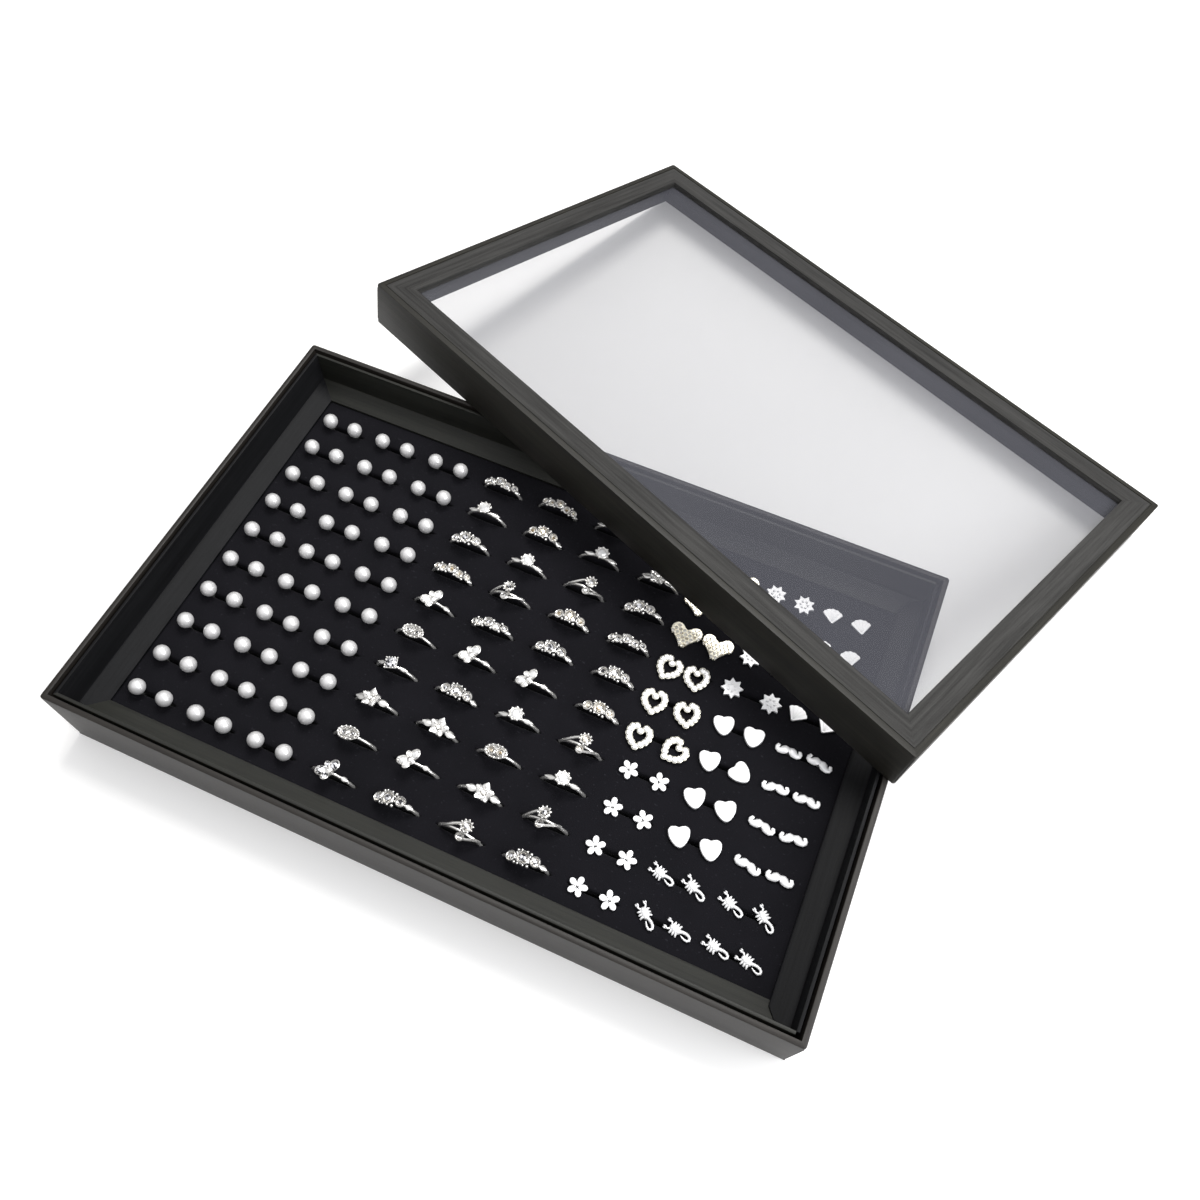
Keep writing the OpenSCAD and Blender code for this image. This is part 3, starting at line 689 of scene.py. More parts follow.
def collars():
    """Four card strips that hold the velvet down; the right one laps over its neighbours."""
    card = collar_section(0)
    # The front and back strips take the copy with painted sheen, the side strips the darker copy with painted
    # shade.
    for side, far in (("front", -1), ("back", 1)):
        collar(side, strip(card, lambda d: d - COLLAR_X, lambda d: COLLAR_X - COLLAR_T,
                           lambda s, d, z: Vector((s, far * (COLLAR_Y - d), z))), "collar_paper")
    collar("left", strip(card, lambda d: d - COLLAR_Y, lambda d: COLLAR_Y - d,
                         lambda s, d, z: Vector((d - COLLAR_X, s, z))), "side_collar_paper")
    card, dense, longest = collar_section(LAP), [], 0.8
    for (d0, z0), (d1, z1) in zip(card, card[1:] + card[:1]):
        cuts = max(1, int(abs(d1 - d0) / longest))
        dense += [(d0 + (d1 - d0) * k / cuts, z0 + (z1 - z0) * k / cuts) for k in range(cuts)]
    collar("right", strip(dense, lambda d: -clipped_end(d), clipped_end,
                          lambda s, d, z: Vector((COLLAR_X - d, s, z))), "side_collar_paper")


def grown(base, tree, values):
    """Runs a Geometry Nodes tree on a mesh and returns the plain mesh it makes."""
    host = placed("growing", base)
    modifier = host.modifiers.new("grow", "NODES")
    modifier.node_group = tree
    for item in tree.interface.items_tree:
        if item.in_out == "INPUT" and item.name in values:
            modifier[item.identifier] = values[item.name]
    return made_plain(host)


def slit_grid_tree():
    """Repeats one velvet cell over a grid of slits."""
    t = Pattern("slit grid", [("Cell", "Object"), ("Columns", "Int"), ("Rows", "Int"),
                              ("Pitch X", "Float"), ("Pitch Y", "Float"), ("Middle", "Vector")])
    columns, rows = t.given["Columns"], t.given["Rows"]
    grid = t.node("GeometryNodeMeshGrid", {
        "Size X": (columns - 1) * t.given["Pitch X"], "Size Y": (rows - 1) * t.given["Pitch Y"],
        "Vertices X": columns, "Vertices Y": rows})["Mesh"]
    middles = t.node("GeometryNodeTransform", {"Geometry": grid, "Translation": t.given["Middle"]})[0]
    cell = t.node("GeometryNodeObjectInfo", {"Object": t.given["Cell"]})["Geometry"]
    spread = t.node("GeometryNodeInstanceOnPoints", {"Points": middles, "Instance": cell})[0]
    real = t.node("GeometryNodeRealizeInstances", {0: spread})[0]
    return t.end(t.node("GeometryNodeMergeByDistance", {0: real, "Distance": 2e-5})[0])


def set_out_tree():
    """Repeats one piece at every point, turned by the point's own angles."""
    t = Pattern("set out", [("Piece", "Object"), ("Size", "Float")])
    turn = t.node("GeometryNodeInputNamedAttribute", {"Name": "turn"}, data_type="FLOAT_VECTOR")
    piece = t.node("GeometryNodeObjectInfo", {"Object": t.given["Piece"]})["Geometry"]
    spread = t.node("GeometryNodeInstanceOnPoints", {
        "Points": t.given["Geometry"], "Instance": piece, "Rotation": turn["Attribute"],
        "Scale": t.given["Size"]})[0]
    return t.end(t.node("GeometryNodeRealizeInstances", {0: spread})[0])


SET_OUT = set_out_tree()


def set_out(shape, spots, finish):
    """shape repeated at spots, each ((x, y, z) in mm, (rx, ry, rz) in degrees)."""
    base = bpy.data.meshes.new("spots")
    base.from_pydata([tuple(MM * v for v in at) for at, _ in spots], [], [])
    turns = base.attributes.new("turn", "FLOAT_VECTOR", "POINT")
    for i, (_, angles) in enumerate(spots):
        turns.data[i].vector = [math.radians(a) for a in angles]
    made = placed("pattern", shape)
    mesh = grown(base, SET_OUT, {"Piece": made, "Size": 1.0, "Finish": FINISHES[finish]})
    bpy.data.objects.remove(made)
    return mesh


def laid_out(name, shape, spots, finish, body, solid, smooth=None):
    """A piece made of one shape repeated at its spots."""
    finished(name, set_out(shape, spots, finish), finish, body, solid, smooth)


def velvet_cell():
    """One pitch of the pad: a slit whose velvet lips roll down into the foam."""
    half_x, half_y = PITCH_X / 2, PITCH_Y / 2
    lip_x, lip_y = 7.7, 0.62
    side = 12
    corner = [(half_x, half_y), (-half_x, half_y), (-half_x, -half_y), (half_x, -half_y)]
    edge = []
    for a, b in zip(corner, corner[1:] + corner[:1]):
        edge += [Vector(a).lerp(Vector(b), i / side) for i in range(side)]

    def lip(p, grow):
        """A point of the almond round the slit, out by grow."""
        t = math.atan2(p.y / half_y, p.x / half_x)
        c, s = math.cos(t), math.sin(t)
        return Vector(((lip_x + grow) * math.copysign(abs(c) ** 0.85, c),
                       (lip_y + grow) * math.copysign(abs(s) ** 1.1, s)))

    levels = [(-0.25, -4.0), (-0.2, -1.6), (0.0, -0.75), (0.25, -0.3), (0.6, -0.1), (1.1, -0.02), (1.9, 0.0)]
    work = bmesh.new()
    rows = [[Vector((*lip(p, grow), PAD_Z + z)) for p in edge] for grow, z in levels]
    outer = rows[-1]
    for t in (0.35, 0.7, 1.0):
        rows.append([a.lerp(Vector((*p, PAD_Z)), t) for a, p in zip(outer, edge)])
    skin(work, rows)
    face_up(work)
    return to_mesh(work)


def velvet():
    """The pad's face: a grid of cells, drawn out to the collar and turned down there."""
    cell = placed("pattern", velvet_cell())
    mesh = grown(bpy.data.meshes.new("empty"), slit_grid_tree(), {
        "Cell": cell, "Columns": COLS, "Rows": ROWS, "Pitch X": PITCH_X * MM, "Pitch Y": PITCH_Y * MM,
        "Middle": (GRID_X * MM, GRID_Y * MM, 0.0), "Finish": FINISHES["velvet"]})
    bpy.data.objects.remove(cell)
    work = opened(mesh)
    face_z = (PAD_Z - 0.05) * MM
    gap = COLLAR_T + 0.2

    def draw_out(axis, to, test=lambda v: True):
        """Extends the open edges of the face along an axis."""
        edges = [e for e in work.edges if e.is_boundary and all(v.co.z > face_z and test(v) for v in e.verts)]
        for v in bmesh.ops.extrude_edge_only(work, edges=edges)["geom"]:
            if isinstance(v, bmesh.types.BMVert):
                v.co[axis] = to

    for axis, rim, middle, far in ((0, COLS * PITCH_X / 2, GRID_X, COLLAR_X - gap),
                                   (1, ROWS * PITCH_Y / 2, GRID_Y, COLLAR_Y - gap)):
        for way in (-1, 1):
            line = (middle + way * rim) * MM
            draw_out(axis, way * far * MM, lambda v: abs(v.co[axis] - line) < 1e-5)
    draw_out(2, (PAD_Z - VELVET_T) * MM)
    face_up(work)
    finished("velvet_pad", written(work, mesh), "velvet", "tray", "velvet_face", 60)


# ---------- ring heads: each fills a metal mesh and a stone mesh ----------

def leaf(metal, place, length, width, thick=0.5):
    """A pointed leaf or wing lying outward from place."""
    rows = []
    for i in range(8):
        t = i / 7
        w = width / 2 * math.sin(math.pi * min(max(t, 0.04), 0.97)) ** 0.7
        rows.append([place @ Vector((length * t, w * c, thick * s * (0.6 + 0.4 * t))) for c, s in circle(8)])
    closed(metal, rows)


def leaves(metal, middle, turn, lift, *size):
    """Two leaves pointing away from a head, down the band on either side."""
    for way in (-1, 1):
        leaf(metal, on_top(middle + way * turn, 0, lift, 0 if way > 0 else 180), *size)


def bezel(metal, gems, place, r, stone=0.8, height=1.2, ry=None, sides=8):
    """A bright raised rim, open below, with a smaller stone standing in it."""
    ry = ry or r
    squash = place @ Matrix.Diagonal((1, ry / r, 1, 1))
    wall = min(0.46, r * 0.33)
    lathe(metal, [(r * 0.62, -height), (r * 0.96, -0.35), (r, 0.05), (r - wall * 0.5, 0.24), (r - wall, 0.02),
                  (r * 0.92 - wall, -0.5), (r * 0.62, -height)], 20, squash)
    inner = (r - wall) * stone
    lathe(metal, [(inner * 0.4, -height), (inner * 0.9, -0.1), (0.0, -0.15)], 10, squash)
    gem(gems, place @ moved(0, 0, -0.05), sides, inner, inner * ry / r)


def grain(metal, place, r):
    lump(metal, (0, 0, 0), (r, r, r), 5, 7, place)


def grain_ring(metal, place, rx, ry, count, r):
    """Bright grains set round a frame."""
    for c, s in circle(count, 0.5):
        grain(metal, place @ moved(rx * c, ry * s, 0), r)


def head_butterfly(metal, gems):
    """Two large wings and two small ones, each with a stone, off to one side."""
    middle = on_top(-7, 0.0, 1.2)
    for turn, reach, r in ((68, 2.0, 1.9), (205, 2.0, 1.95), (262, 1.7, 1.5), (128, 1.8, 1.1)):
        wing = middle @ turned(turn) @ moved(reach, 0, 0.1) @ turned(-12, "Y")
        bezel(metal, gems, wing, r, 0.95, 0.9, r * 0.8)
    leaf(metal, on_top(20, 0, 0.1), 2.6, 1.5, 0.3)
    lathe(metal, [(0.8, -1.6), (1.5, -0.6), (0.9, 0.2), (0.0, 0.45)], 12, middle)


def head_oval(metal, gems):
    """Two stones side by side in an open oval frame of grains."""
    place = on_top(-4, 0, 1.1, 4, 4)
    rim = [(2.9, -0.3), (3.4, -0.35), (3.62, 0.0), (3.3, 0.18), (2.95, 0.0), (2.9, -0.3)]
    lathe(metal, rim, 28, place @ Matrix.Diagonal((1, 0.6, 1, 1)))
    grain_ring(metal, place @ moved(0, 0, 0.1), 3.25, 1.95, 14, 0.42)
    lathe(metal, [(0.9, -1.5), (0.8, -0.4), (0.0, -0.3)], 10, place)
    for way in (-1, 1):
        bezel(metal, gems, place @ moved(way * 1.4, 0, 0.2), 1.3, 0.6, 0.9)


def head_star(metal, gems):
    """A bright five-pointed spray between two broad leaves, round a small stone."""
    place = on_top(4, 0, 0.9)
    for k in range(5):
        spike = place @ turned(72 * k + 18) @ turned(-8, "Y")
        leaf(metal, spike, 3.1, 2.5, 0.45)
        grain(metal, spike @ moved(1.7, 0, 0.42), 0.36)
    bezel(metal, gems, place @ moved(0, 0, 0.7), 1.0)
    leaves(metal, 4, 14, 0.3, 3.6, 2.2, 0.35)


def head_cushion(metal, gems):
    """A square frame of grains round a cushion stone."""
    place = on_top(0, 0, 1.4, 62)
    half = 1.75
    lathe(metal, [(1.0, -1.8), (2.5, -0.4), (2.65, 0.0), (2.3, 0.15), (1.9, -0.1), (0.0, -0.8)], 4, place)
    for k in range(4):
        side = place @ turned(45 + 90 * k)
        for t in (-1, -0.5, 0, 0.5):
            grain(metal, side @ moved(half, t * half, 0.15), 0.34)
    gem(gems, place @ moved(0, 0, 0.05), 4, 2.0)
    leaves(metal, 0, 18, 0.15, 3.0, 1.3, 0.3)


def head_row(metal, gems):
    """A half circle of round stones in bright rims, largest in the middle."""
    step = 19.5
    for k in range(-2, 3):
        small = abs(k)
        place = on_top(k * step - 2, 0.3 * (-1) ** k, 0.9 - 0.1 * small)
        bezel(metal, gems, place, 1.65 - 0.2 * small, 0.6, 0.9)
        if k < 2:
            for side in (-1, 1):
                grain(metal, on_top(k * step + 8, side * 1.4, 0.6), 0.5)
    leaf(metal, on_top(36, 0, 0.2), 2.6, 1.5, 0.3)


def head_three(metal, gems):
    """A round stone between two open rims, with bright grains in the corners."""
    bezel(metal, gems, on_top(-3, 0, 1.5), 2.05, 0.66, 1.6)
    grain_ring(metal, on_top(-3, 0, 1.3), 2.15, 2.15, 8, 0.36)
    for way in (-1, 1):
        bezel(metal, gems, on_top(way * 25 - 3, way * 0.3, 0.9), 1.6, 0.6, 1.0)
        for side in (-1, 1):
            grain(metal, on_top(way * 13 - 3, side * 1.75, 0.8), 0.55)
    leaf(metal, on_top(34, 0, 0.2), 2.6, 1.7, 0.35)


def head_round(metal, gems):
    """A tall round stone in a crown of grains, between two slim leaves."""
    place = on_top(5, 0.5, 1.6, 0, -6)
    bezel(metal, gems, place, 2.2, 0.95, 1.9, sides=12)
    grain_ring(metal, place, 2.2, 2.2, 9, 0.42)
    leaves(metal, 5, 15, 0.25, 3.6, 1.5, 0.3)


def head_bypass(metal, gems):
    """Two slim band ends that pass either side of a haloed stone."""
    place = on_top(4, 1.7, 1.5, 0, -10)
    bezel(metal, gems, place, 1.75, 0.62, 1.6)
    grain_ring(metal, place, 1.9, 1.9, 10, 0.34)
    bezel(metal, gems, on_top(2, -1.7, 0.9), 1.3, 0.62, 1.0)
    steps = [k / 14 for k in range(15)]
    for side in (-1, 1):
        points = [on_top(side * (48 - 52 * t), side * (0.1 - 2.3 * math.sin(math.pi / 2 * t) ** 2),
                         0.05 + 0.9 * t).translation for t in steps]
        tube(metal, points, [0.5 - 0.14 * t for t in steps], 7)


HEADS = {"b": head_butterfly, "o": head_oval, "s": head_star, "q": head_cushion, "e": head_row,
         "t": head_three, "r": head_round, "y": head_bypass}


def ring_shapes(letter):
    """Metal and stone meshes of one ring style, in metres, centred on its band."""
    metal, gems = bmesh.new(), bmesh.new()
    half = [(-0.75, 0.45), (-0.5, 0.58), (-0.2, 0.5), (0, 0.25)]     # depth and half width of the band
    band = half + [(0.02, 0)] + [(d, -w) for d, w in reversed(half)]
    rows = []
    for c, s in circle(64):
        slim = 1.0 - 0.2 * max(0.0, s)
        rows.append([Vector(((RING_R + d) * c, w * slim, (RING_R + d) * s)) for d, w in band])
    skin(metal, rows, True, True)
    HEADS[letter](metal, gems)
    metal = cast(metal)
    soften(metal, 38)
    return metal, cast(gems)


def in_slit(c, r):
    """Where a ring stands in slit c of row r, in mm and degrees."""
    return ((slit_x(c) + 0.2 * sway(c, r, 1), slit_y(r), RING_Z),
            (0, 9 * sway(c, r, 2), 3 * sway(c, r, 3)))


def rings():
    """The fixed rings by metal and by stone, and the four front ones that lift out."""
    shapes = {letter: ring_shapes(letter) for letter in HEADS}
    metals, clear, gold, white = [], [], [], []
    for letter, (metal, gems) in shapes.items():
        spots = [in_slit(c, r) for r in range(1, ROWS) for c in RING_COLS if PLAN[r][c] == letter]
        metals.append(set_out(metal, spots, "silver"))
        if letter in "bsr":
            white.append(set_out(gems, spots, "white_crystal"))
            continue
        warm = spots[1::3]
        clear.append(set_out(gems, [spot for spot in spots if spot not in warm], "crystal"))
        if warm:
            gold.append(set_out(gems, warm, "champagne"))
    finished("finger_rings", written(opened(*metals)), "silver", "tray", "ring_bands", 38)
    for name, meshes, finish in (("clear", clear, "crystal"), ("white", white, "white_crystal"),
                                 ("champagne", gold, "champagne")):
        finished(f"{name}_ring_stones", written(opened(*meshes)), finish, "tray", "ring_stones")
    for i, c in enumerate(RING_COLS, 1):
        metal, gems = shapes[PLAN[0][c]]
        ring, spot = f"ring_{i}", [in_slit(c, 0)]
        laid_out(f"front_{ring}", metal, spot, "silver", ring, ring, 38)
        laid_out(f"front_{ring}_stones", gems, spot, "crystal", ring, f"{ring}_stones")


# ---------- studs ----------

def plate(loops, thick, bevel):
    """A flat casting from outlines in mm, its underside at z 0, with softened edges."""
    curve = bpy.data.curves.new("outline", "CURVE")
    curve.dimensions = "2D"
    curve.fill_mode = "BOTH"
    curve.extrude = (thick / 2 - bevel) * MM
    curve.bevel_depth = bevel * MM
    curve.bevel_resolution = 1
    curve.offset = -bevel * MM
    for loop in loops:
        spline = curve.splines.new("POLY")
        spline.points.add(len(loop) - 1)
        for point, (x, y) in zip(spline.points, loop):
            point.co = (x * MM, y * MM, 0, 1)
        spline.use_cyclic_u = True
    work = opened(made_plain(placed("outline", curve)))
    bmesh.ops.remove_doubles(work, verts=work.verts, dist=1e-6)
    bmesh.ops.translate(work, vec=(0, 0, thick / 2 * MM), verts=work.verts)
    bmesh.ops.recalc_face_normals(work, faces=work.faces)
    return written(work)


def stud(add=None, casting=None, post=True, smooth=20):
    """A casting with whatever add(work) draws in mm, on a post unless that is a piece of its own."""
    work = bmesh.new()
    if post:
        lathe(work, POST + [(0.4, 0.1)], 12)
    if add:
        add(work)
    parts = [cast(work)] + ([casting] if casting else [])
    out = written(opened(*parts))
    soften(out, smooth)
    return out


def polar(radius, count):
    """An outline whose radius follows the angle."""
    return [(radius(a) * math.cos(a), radius(a) * math.sin(a))
            for a in (2 * math.pi * k / count for k in range(count))]


def heart_loop(width, notch, tip, count=60):
    """A full, rounded heart outline of that width."""
    out = []
    for i in range(count):
        t = 2 * math.pi * i / count
        x = math.sin(t) * (1 + 0.06 * math.cos(2 * t))
        y = math.cos(t)
        dent = notch * math.exp(-(x / 0.34) ** 2) if y > 0 else 0.0
        point = tip * math.exp(-(abs(x) / 0.5) ** 1.3) if y < 0 else 0.0
        pull = 1 - 0.1 * max(0.0, -y) ** 1.5
        out.append((width / 2 * x * pull, width / 2 * (0.86 * y - dent - point + 0.2)))
    return out


def flower_stud():
    petals = polar(lambda a: 0.85 + 2.15 * abs(math.cos(2.5 * a)) ** 0.66, 100)
    return stud(lambda work: grain_ring(work, moved(0, 0, 0.8), 0.62, 0.62, 5, 0.24),
                plate([petals], 0.8, 0.2))


SOFT_HEART = (2.45, 2.9, 3.5, 3.6, 3.2, 2.95, 2.85, 2.95, 3.25, 3.5)     # mm from the middle, notch to tip


def soft_heart():
    """A plump heart with a slight notch and a blunt tip."""
    count, last = 80, len(SOFT_HEART) - 1
    step = 180 / last

    def reach(a):
        place = abs((a + 180) % 360 - 180) / step
        i = min(int(place), last - 1)
        t = place - i
        p = [SOFT_HEART[k if k <= last else 2 * last - k] for k in (abs(i - 1), i, i + 1, i + 2)]
        return 0.5 * (2 * p[1] + (p[2] - p[0]) * t + (2 * p[0] - 5 * p[1] + 4 * p[2] - p[3]) * t ** 2
                      + (3 * p[1] - p[0] - 3 * p[2] + p[3]) * t ** 3)
    return [(reach(a) * math.sin(math.radians(a)), reach(a) * math.cos(math.radians(a)))
            for a in (360 * k / count for k in range(count))]


def heart_stud():
    return stud(None, plate([soft_heart()], 1.1, 0.3))


STONE_Z = 0.95      # height of a stud's small stones above its back


def loose_stones(places, r, sides):
    """Stones that stand at those places of a stud."""
    work = bmesh.new()
    for x, y in places:
        gem(work, moved(x, y, STONE_Z), sides, r)
    return to_mesh(work)


OPEN_STONES = 14


def open_heart_places():
    return heart_loop(6.7, 0.55, 0.4, 20 * OPEN_STONES)[::20]


def open_heart_stud():
    def rims(work):
        for x, y in open_heart_places():
            lathe(work, [(0.7, 0.3), (1.1, 0.7), (1.1, 0.95), (0.96, 1.0), (0.92, 0.8), (0.0, 0.7)], 14,
                  moved(x, y, 0))
    outline, hole = heart_loop(8.3, 0.45, 0.36), heart_loop(4.6, 0.5, 0.5)
    return stud(rims, plate([outline, hole[::-1]], 0.7, 0.15), post=False)


def open_heart_gems():
    return loose_stones(open_heart_places(), 0.94, 8)


def inside(loop, x, y, margin):
    """True where a point is in a loop and at least margin from it."""
    hit = False
    for (x0, y0), (x1, y1) in zip(loop, loop[1:] + loop[:1]):
        if (y0 > y) != (y1 > y) and x < (x1 - x0) * (y - y0) / (y1 - y0) + x0:
            hit = not hit
    return hit and min(math.dist((x, y), p) for p in loop) > margin


def pave_loop():
    """Two round lobes spread wide, a deep notch and a narrow tip."""
    lobe_x, lobe_y, lobe_r = 2.95, 1.5, 2.15
    side = [(lobe_x + lobe_r * math.cos(math.radians(a)), lobe_y + lobe_r * math.sin(math.radians(a)))
            for a in range(150, -31, -10)]
    return [(0.0, 1.9)] + side + [(0.3, -4.35), (0.0, -4.6), (-0.3, -4.35)] + [(-x, y) for x, y in side[::-1]]


def pave_spots():
    """Places of the stones, in rows offset by half a step."""
    loop, step = pave_loop(), 1.42
    grid = [((i + (0.5 if j % 2 else 0)) * step, j * step * 0.87) for j in range(-5, 6) for i in range(-5, 6)]
    return [(x, y) for x, y in grid if inside(loop, x, y, 0.55)]


def pave_stud():
    def grains(work):
        for x, y in pave_spots():
            for c, s in circle(3, 0.25):
                lump(work, (x + 0.8 * c, y + 0.8 * s, STONE_Z), (0.22, 0.22, 0.22), 4, 6)
    return stud(grains, plate([pave_loop()], 0.95, 0.2), post=False)


def pave_gems():
    return loose_stones(pave_spots(), 0.62, 6)


def moustache_stud():
    def curls(work):
        line = [(0.05, -0.3), (0.5, 0.0), (1.05, 0.1), (1.6, -0.15), (2.2, -0.5), (2.85, -0.6), (3.4, -0.3),
                (3.6, 0.3), (3.35, 0.85), (2.85, 0.8)]
        radii = [0.95, 1.3, 1.42, 1.3, 1.05, 0.9, 0.8, 0.66, 0.6, 0.42]
        for side in (-1, 1):
            tube(work, [(side * x, y, 0.55) for x, y in line], radii, 12, 0.45)
    return stud(curls, smooth=50)


def scorpion_stud():
    def body(work):
        for w, x in zip((0.85, 1.15, 1.2, 0.95), (-2.3, -1.6, -0.85, -0.15)):
            lump(work, (x, 0, 0.5), (0.66, w, 0.55))
        tail = [(0.2, 0.2), (0.9, 0.55), (1.7, 0.75), (2.6, 0.75), (3.3, 0.4), (3.5, -0.2), (3.1, -0.75),
                (2.3, -0.85), (1.5, -0.7), (0.9, -0.5)]
        radii = [0.5, 0.45, 0.42, 0.42, 0.42, 0.4, 0.36, 0.3, 0.24, 0.12]
        tube(work, [(x, y, 0.55) for x, y in tail], radii, 8, 0.8)
        for side in (-1, 1):
            tube(work, [(-2.4, side * 0.5, 0.5), (-3.0, side * 1.1, 0.5), (-3.5, side * 1.15, 0.5)],
                 [0.26, 0.28, 0.3], 6)
            lump(work, (-3.9, side * 0.95, 0.5), (0.6, 0.34, 0.34), 5, 8)
            lump(work, (-3.95, side * 1.5, 0.5), (0.5, 0.24, 0.3), 5, 8)
            for k in range(3):
                x = -2.0 + 0.75 * k
                tube(work, [(x, side * 0.6, 0.4), (x + 0.1 * k, side * 1.3, 0.5),
                            (x - 0.1 + 0.25 * k, side * 1.75, 0.2)], [0.36, 0.34, 0.24], 6)
    return stud(body, smooth=50)


def starburst_stud():
    star = polar(lambda a: 3.55 - 1.1 * abs(math.sin(4 * a)) ** 1.1, 96)
    return stud(lambda work: grain_ring(work, moved(0, 0, 0.85), 1.2, 1.2, 6, 0.45),
                plate([star], 0.9, 0.12))


def fan_stud():
    def edge(t):
        a = math.radians(45 + 90 * t)
        r = 4.5 + 0.5 * math.sin(math.pi * t) + 0.2 * abs(math.sin(math.pi * 5 * t))
        return (r * math.cos(a), -2.5 + r * math.sin(a))

    def ribs(work):
        for k in range(1, 5):
            x, y = edge(k / 5)
            tube(work, [(0, -2.1, 0.76), (x * 0.93, y * 0.93 - 0.1, 0.76)], 0.12, 5)
    loop = [edge(k / 50) for k in range(51)] + [(-0.5, -2.4), (0, -2.7), (0.5, -2.4)]
    return stud(ribs, plate([loop], 0.8, 0.1))


# How each stud lies, in degrees: letter, row, then one angle for each of its pair.
TURNS = {
    ("H", 2): (23, 18), ("H", 3): (23, 23), ("H", 4): (13, 63), ("H", 5): (18, 6),
    ("M", 2): (-13, -1), ("M", 3): (-9, 8), ("M", 4): (6, 0), ("M", 5): (0, -12),
    ("O", 4): (3, -38), ("O", 5): (7, 16), ("O", 6): (-14, 11),
    ("V", 7): (1, 1), ("V", 8): (12, 4), ("V", 9): (8, 10),
    ("D", 6): (-17, -17), ("D", 7): (5, -10), ("D", 8): (18, 14), ("D", 9): (10, 20)}
SCORPION_TURNS = {(0, 8): (-45, -14), (0, 9): (-16, -18), (1, 8): (-20, -30), (1, 9): (-26, -40)}
HANG = {"O": 1.6, "V": 1.2}     # how far a heart hangs in front of its post
POST_IN = {"O": 3.0, "V": 1.6}  # how far the post stands towards the pair's middle


def stud_turn(letter, c, r, side):
    """The angle a stud lies at."""
    pair = SCORPION_TURNS.get((r, c)) if letter == "S" else TURNS.get((letter, r))
    if pair:
        return pair[0 if side < 0 else 1]
    return {"F": 36, "X": 40}.get(letter, 0) * sway(c, r, side)


def stud_spot(letter, c, r, side):
    """Place and turn of a stud; some pairs stand off their usual places."""
    slide = {"D": -1.5, "V": -0.8 if side < 0 else 0.2,
             "X": (-1.8 if side < 0 else 1.2) if r == 6 else 0,
             "O": -1.4 if side < 0 else {4: 0.5, 5: -0.3, 6: -1.9}.get(r, 0)}.get(letter, 0)
    return ((slit_x(c) + side * STUD_X + slide, slit_y(r) - HANG.get(letter, 0), STUD_Z),
            (0, 0, stud_turn(letter, c, r, side)))


def stud_spots(letter):
    return [stud_spot(letter, c, r, side) for r in range(ROWS) for c in range(COLS) for side in (-1, 1)
            if PLAN[r][c] == letter and not (r == 0 and c in (PEARL_COL, FLOWER_COL))]


def post_spots(letter):
    """Upright places under the inner side of each heart of a pair."""
    across = POST_IN[letter]
    return [((x + (-across if i % 2 else across), y + HANG[letter], z), (0, 0, 0))
            for i, ((x, y, z), _) in enumerate(stud_spots(letter))]


def pearl_shapes():
    """Meshes of a pearl and of its cup on a post."""
    bead, mount = bmesh.new(), bmesh.new()
    lump(bead, (0, 0, 0.15 + PEARL_R), (PEARL_R, PEARL_R, PEARL_R), 20, 32)
    lathe(mount, POST + [(0.4, -0.2), (1.2, -0.2), (1.5, 0.05), (1.5, 0.35), (1.3, 0.45), (0.0, 0.45)], 16)
    out = [cast(bead), cast(mount)]
    for mesh in out:
        soften(mesh, 40)
    return out


def studs():
    """The fixed studs by kind, and the four of the front row that lift out."""
    bead, mount = pearl_shapes()
    flower, post = flower_stud(), stud()
    stones = {"O": (open_heart_gems(), "white_crystal"), "V": (pave_gems(), "cream_crystal")}
    for kind, shape, letter, finish in (
            ("flower", flower, "F", "white_silver"), ("heart", heart_stud(), "H", "white_silver"),
            ("open_heart", open_heart_stud(), "O", "pale_gilt"), ("pave_heart", pave_stud(), "V", "gilt"),
            ("moustache", moustache_stud(), "M", "white_silver"),
            ("scorpion", scorpion_stud(), "S", "white_silver"),
            ("starburst", starburst_stud(), "X", "white_silver"), ("fan", fan_stud(), "D", "white_silver")):
        laid_out(f"{kind}_earrings", shape, stud_spots(letter), finish, "tray", f"{kind}_studs")
        if letter in stones:
            gems, sparkle = stones[letter]
            laid_out(f"{kind}_crystals", gems, stud_spots(letter), sparkle, "tray", f"{kind}_stones")
    for kind, letter, finish in (("open_heart", "O", "pale_gilt"), ("pave_heart", "V", "gilt")):
        laid_out(f"{kind}_posts", post, post_spots(letter), finish, "tray", f"{kind}_studs")
    laid_out("pearls", bead, stud_spots("P"), "pearl", "tray", "pearl_beads")
    laid_out("pearl_mounts", mount, stud_spots("P"), "silver", "tray", "pearl_posts")
    for i, side in ((1, -1), (2, 1)):
        pearl, blossom = f"pearl_stud_{i}", f"flower_stud_{i}"
        spot = [stud_spot("P", PEARL_COL, 0, side)]
        laid_out(f"front_pearl_{i}", bead, spot, "pearl", pearl, f"{pearl}_bead")
        laid_out(f"front_pearl_mount_{i}", mount, spot, "silver", pearl, f"{pearl}_post")
        laid_out(f"front_flower_{i}", flower, [stud_spot("F", FLOWER_COL, 0, side)], "white_silver",
                 blossom, blossom)


# ---------- stage, light and camera ----------

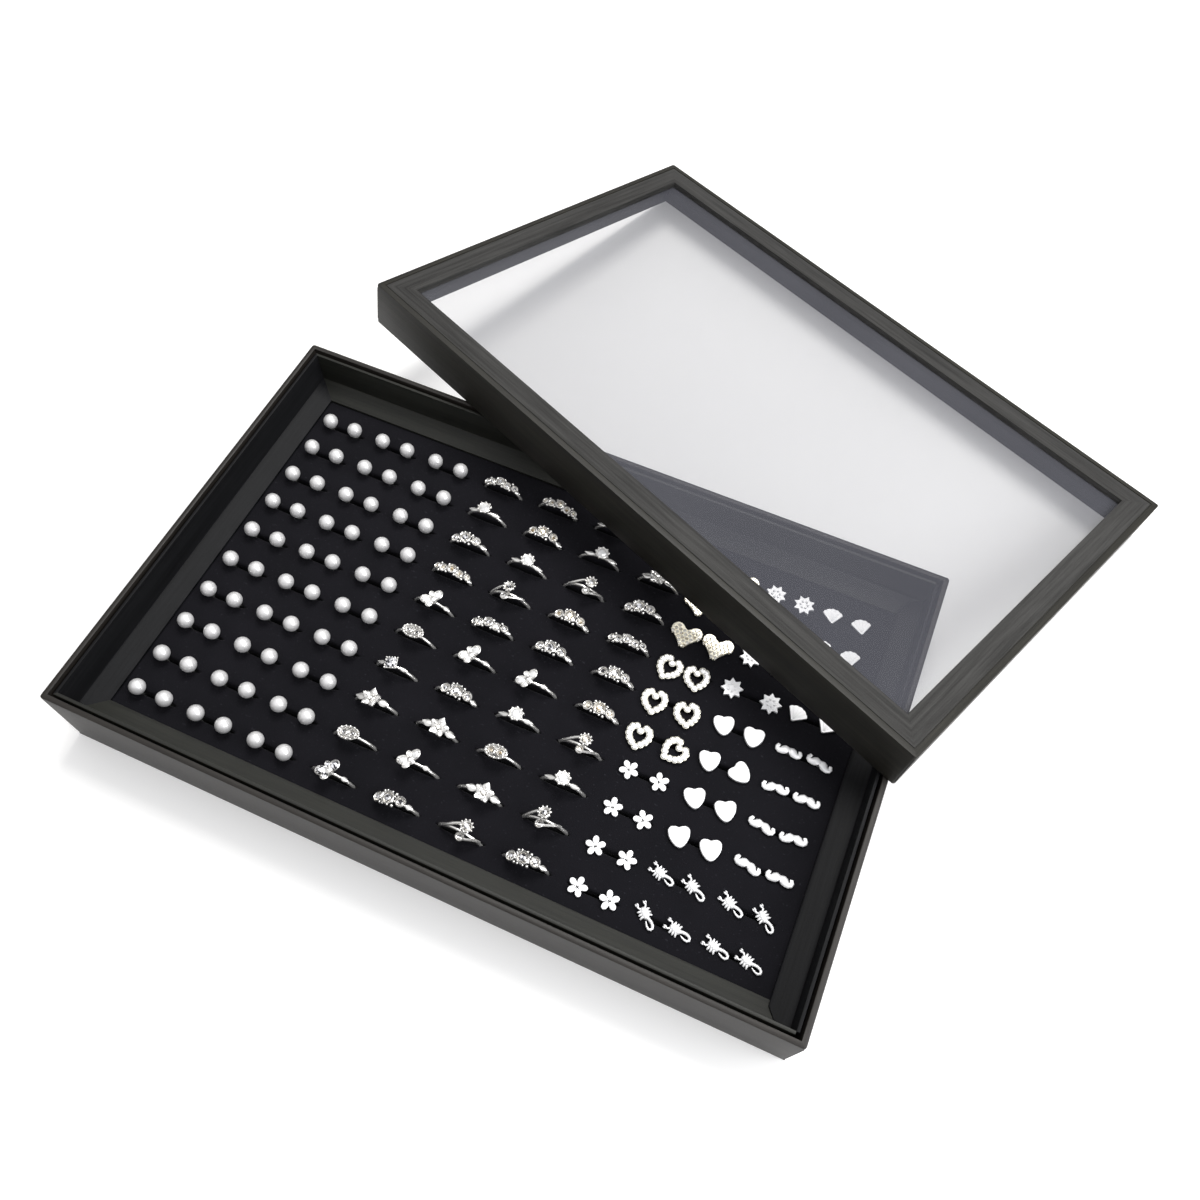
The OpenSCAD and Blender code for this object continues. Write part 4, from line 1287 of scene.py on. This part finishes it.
def floor():
    """A pale floor that keeps the shadow."""
    work = bmesh.new()
    bmesh.ops.create_grid(work, x_segments=1, y_segments=1, size=6 / MM)
    ground = placed("floor", to_mesh(work))
    ground.location.z = -0.05 * MM
    f = Finish("pale floor")
    path = f.node("ShaderNodeLightPath")
    seen = (path["Is Camera Ray"] + path["Is Glossy Ray"] + path["Is Transmission Ray"]).clamp()
    matt = f.node("ShaderNodeBsdfDiffuse", {"Color": (0.845, 0.84, 0.83)})[0]
    glow = f.node("ShaderNodeEmission", {"Color": (1.0, 1.0, 1.0), "Strength": seen * 0.25})[0]
    ground.data.materials.append(f.end(f.node("ShaderNodeAddShader", {0: matt, 1: glow})[0]))


def daylight():
    """Soft light from above, white where the camera sees the background."""
    world = bpy.data.worlds.new("soft daylight")
    bpy.context.scene.world = world
    world.use_nodes = True
    w = Nodes(world.node_tree)
    seen = w.node("ShaderNodeLightPath")["Is Camera Ray"]
    toward = w.node("ShaderNodeTexCoord")["Generated"]
    high = w.node("ShaderNodeSeparateXYZ", {0: toward})["Z"]
    sky = w.ramp(high, [(0.0, (0.08, 0.08, 0.08)), (0.3, (0.3, 0.3, 0.31)), (0.7, (1.0, 1.0, 1.01)),
                        (1.0, (1.25, 1.25, 1.28))])
    lit = w.mix(seen, sky, (1.0, 1.0, 1.0))
    shader = w.node("ShaderNodeBackground", {"Color": lit, "Strength": seen * 0.34 + 0.66})[0]
    w.node("ShaderNodeOutputWorld", {"Surface": shader})
    aim = Vector((0.03, 0.05, 0))
    for name, place, size, power, colour in (
            ("window light", (0.0, 0.5, 1.05), 0.45, 8.8, (1.0, 0.99, 0.97)),
            ("fill light", (0.58, 0.0, 0.5), 0.5, 4.0, (0.97, 0.98, 1.0))):
        lamp = bpy.data.lights.new(name, "AREA")
        lamp.size, lamp.energy, lamp.color = size, power, colour
        held = placed(name, lamp)
        held.location = place
        held.rotation_euler = (aim - Vector(place)).to_track_quat("-Z", "Y").to_euler()


def camera():
    """Looks down from the near right-hand side, a little rolled."""
    lens = bpy.data.cameras.new("camera")
    lens.sensor_width, lens.lens = 36.0, 30.14
    lens.clip_start, lens.clip_end = 0.005, 20
    held = placed("camera", lens)
    pitch, roll, heading = 29.062, -1.8, 23.511
    held.matrix_world = (moved(0.0699, -0.1189, 0.2965) @ turned(heading) @ turned(roll, "Y")
                         @ turned(pitch, "X"))
    bpy.context.scene.camera = held


plain_solids()
tray_cover()
lid_covers()
collars()
velvet()
rings()
studs()
floor()
daylight()
camera()
bpy.context.scene.view_settings.view_transform = "Standard"
for mesh in list(bpy.data.meshes):
    if mesh.users == 0:
        bpy.data.meshes.remove(mesh)
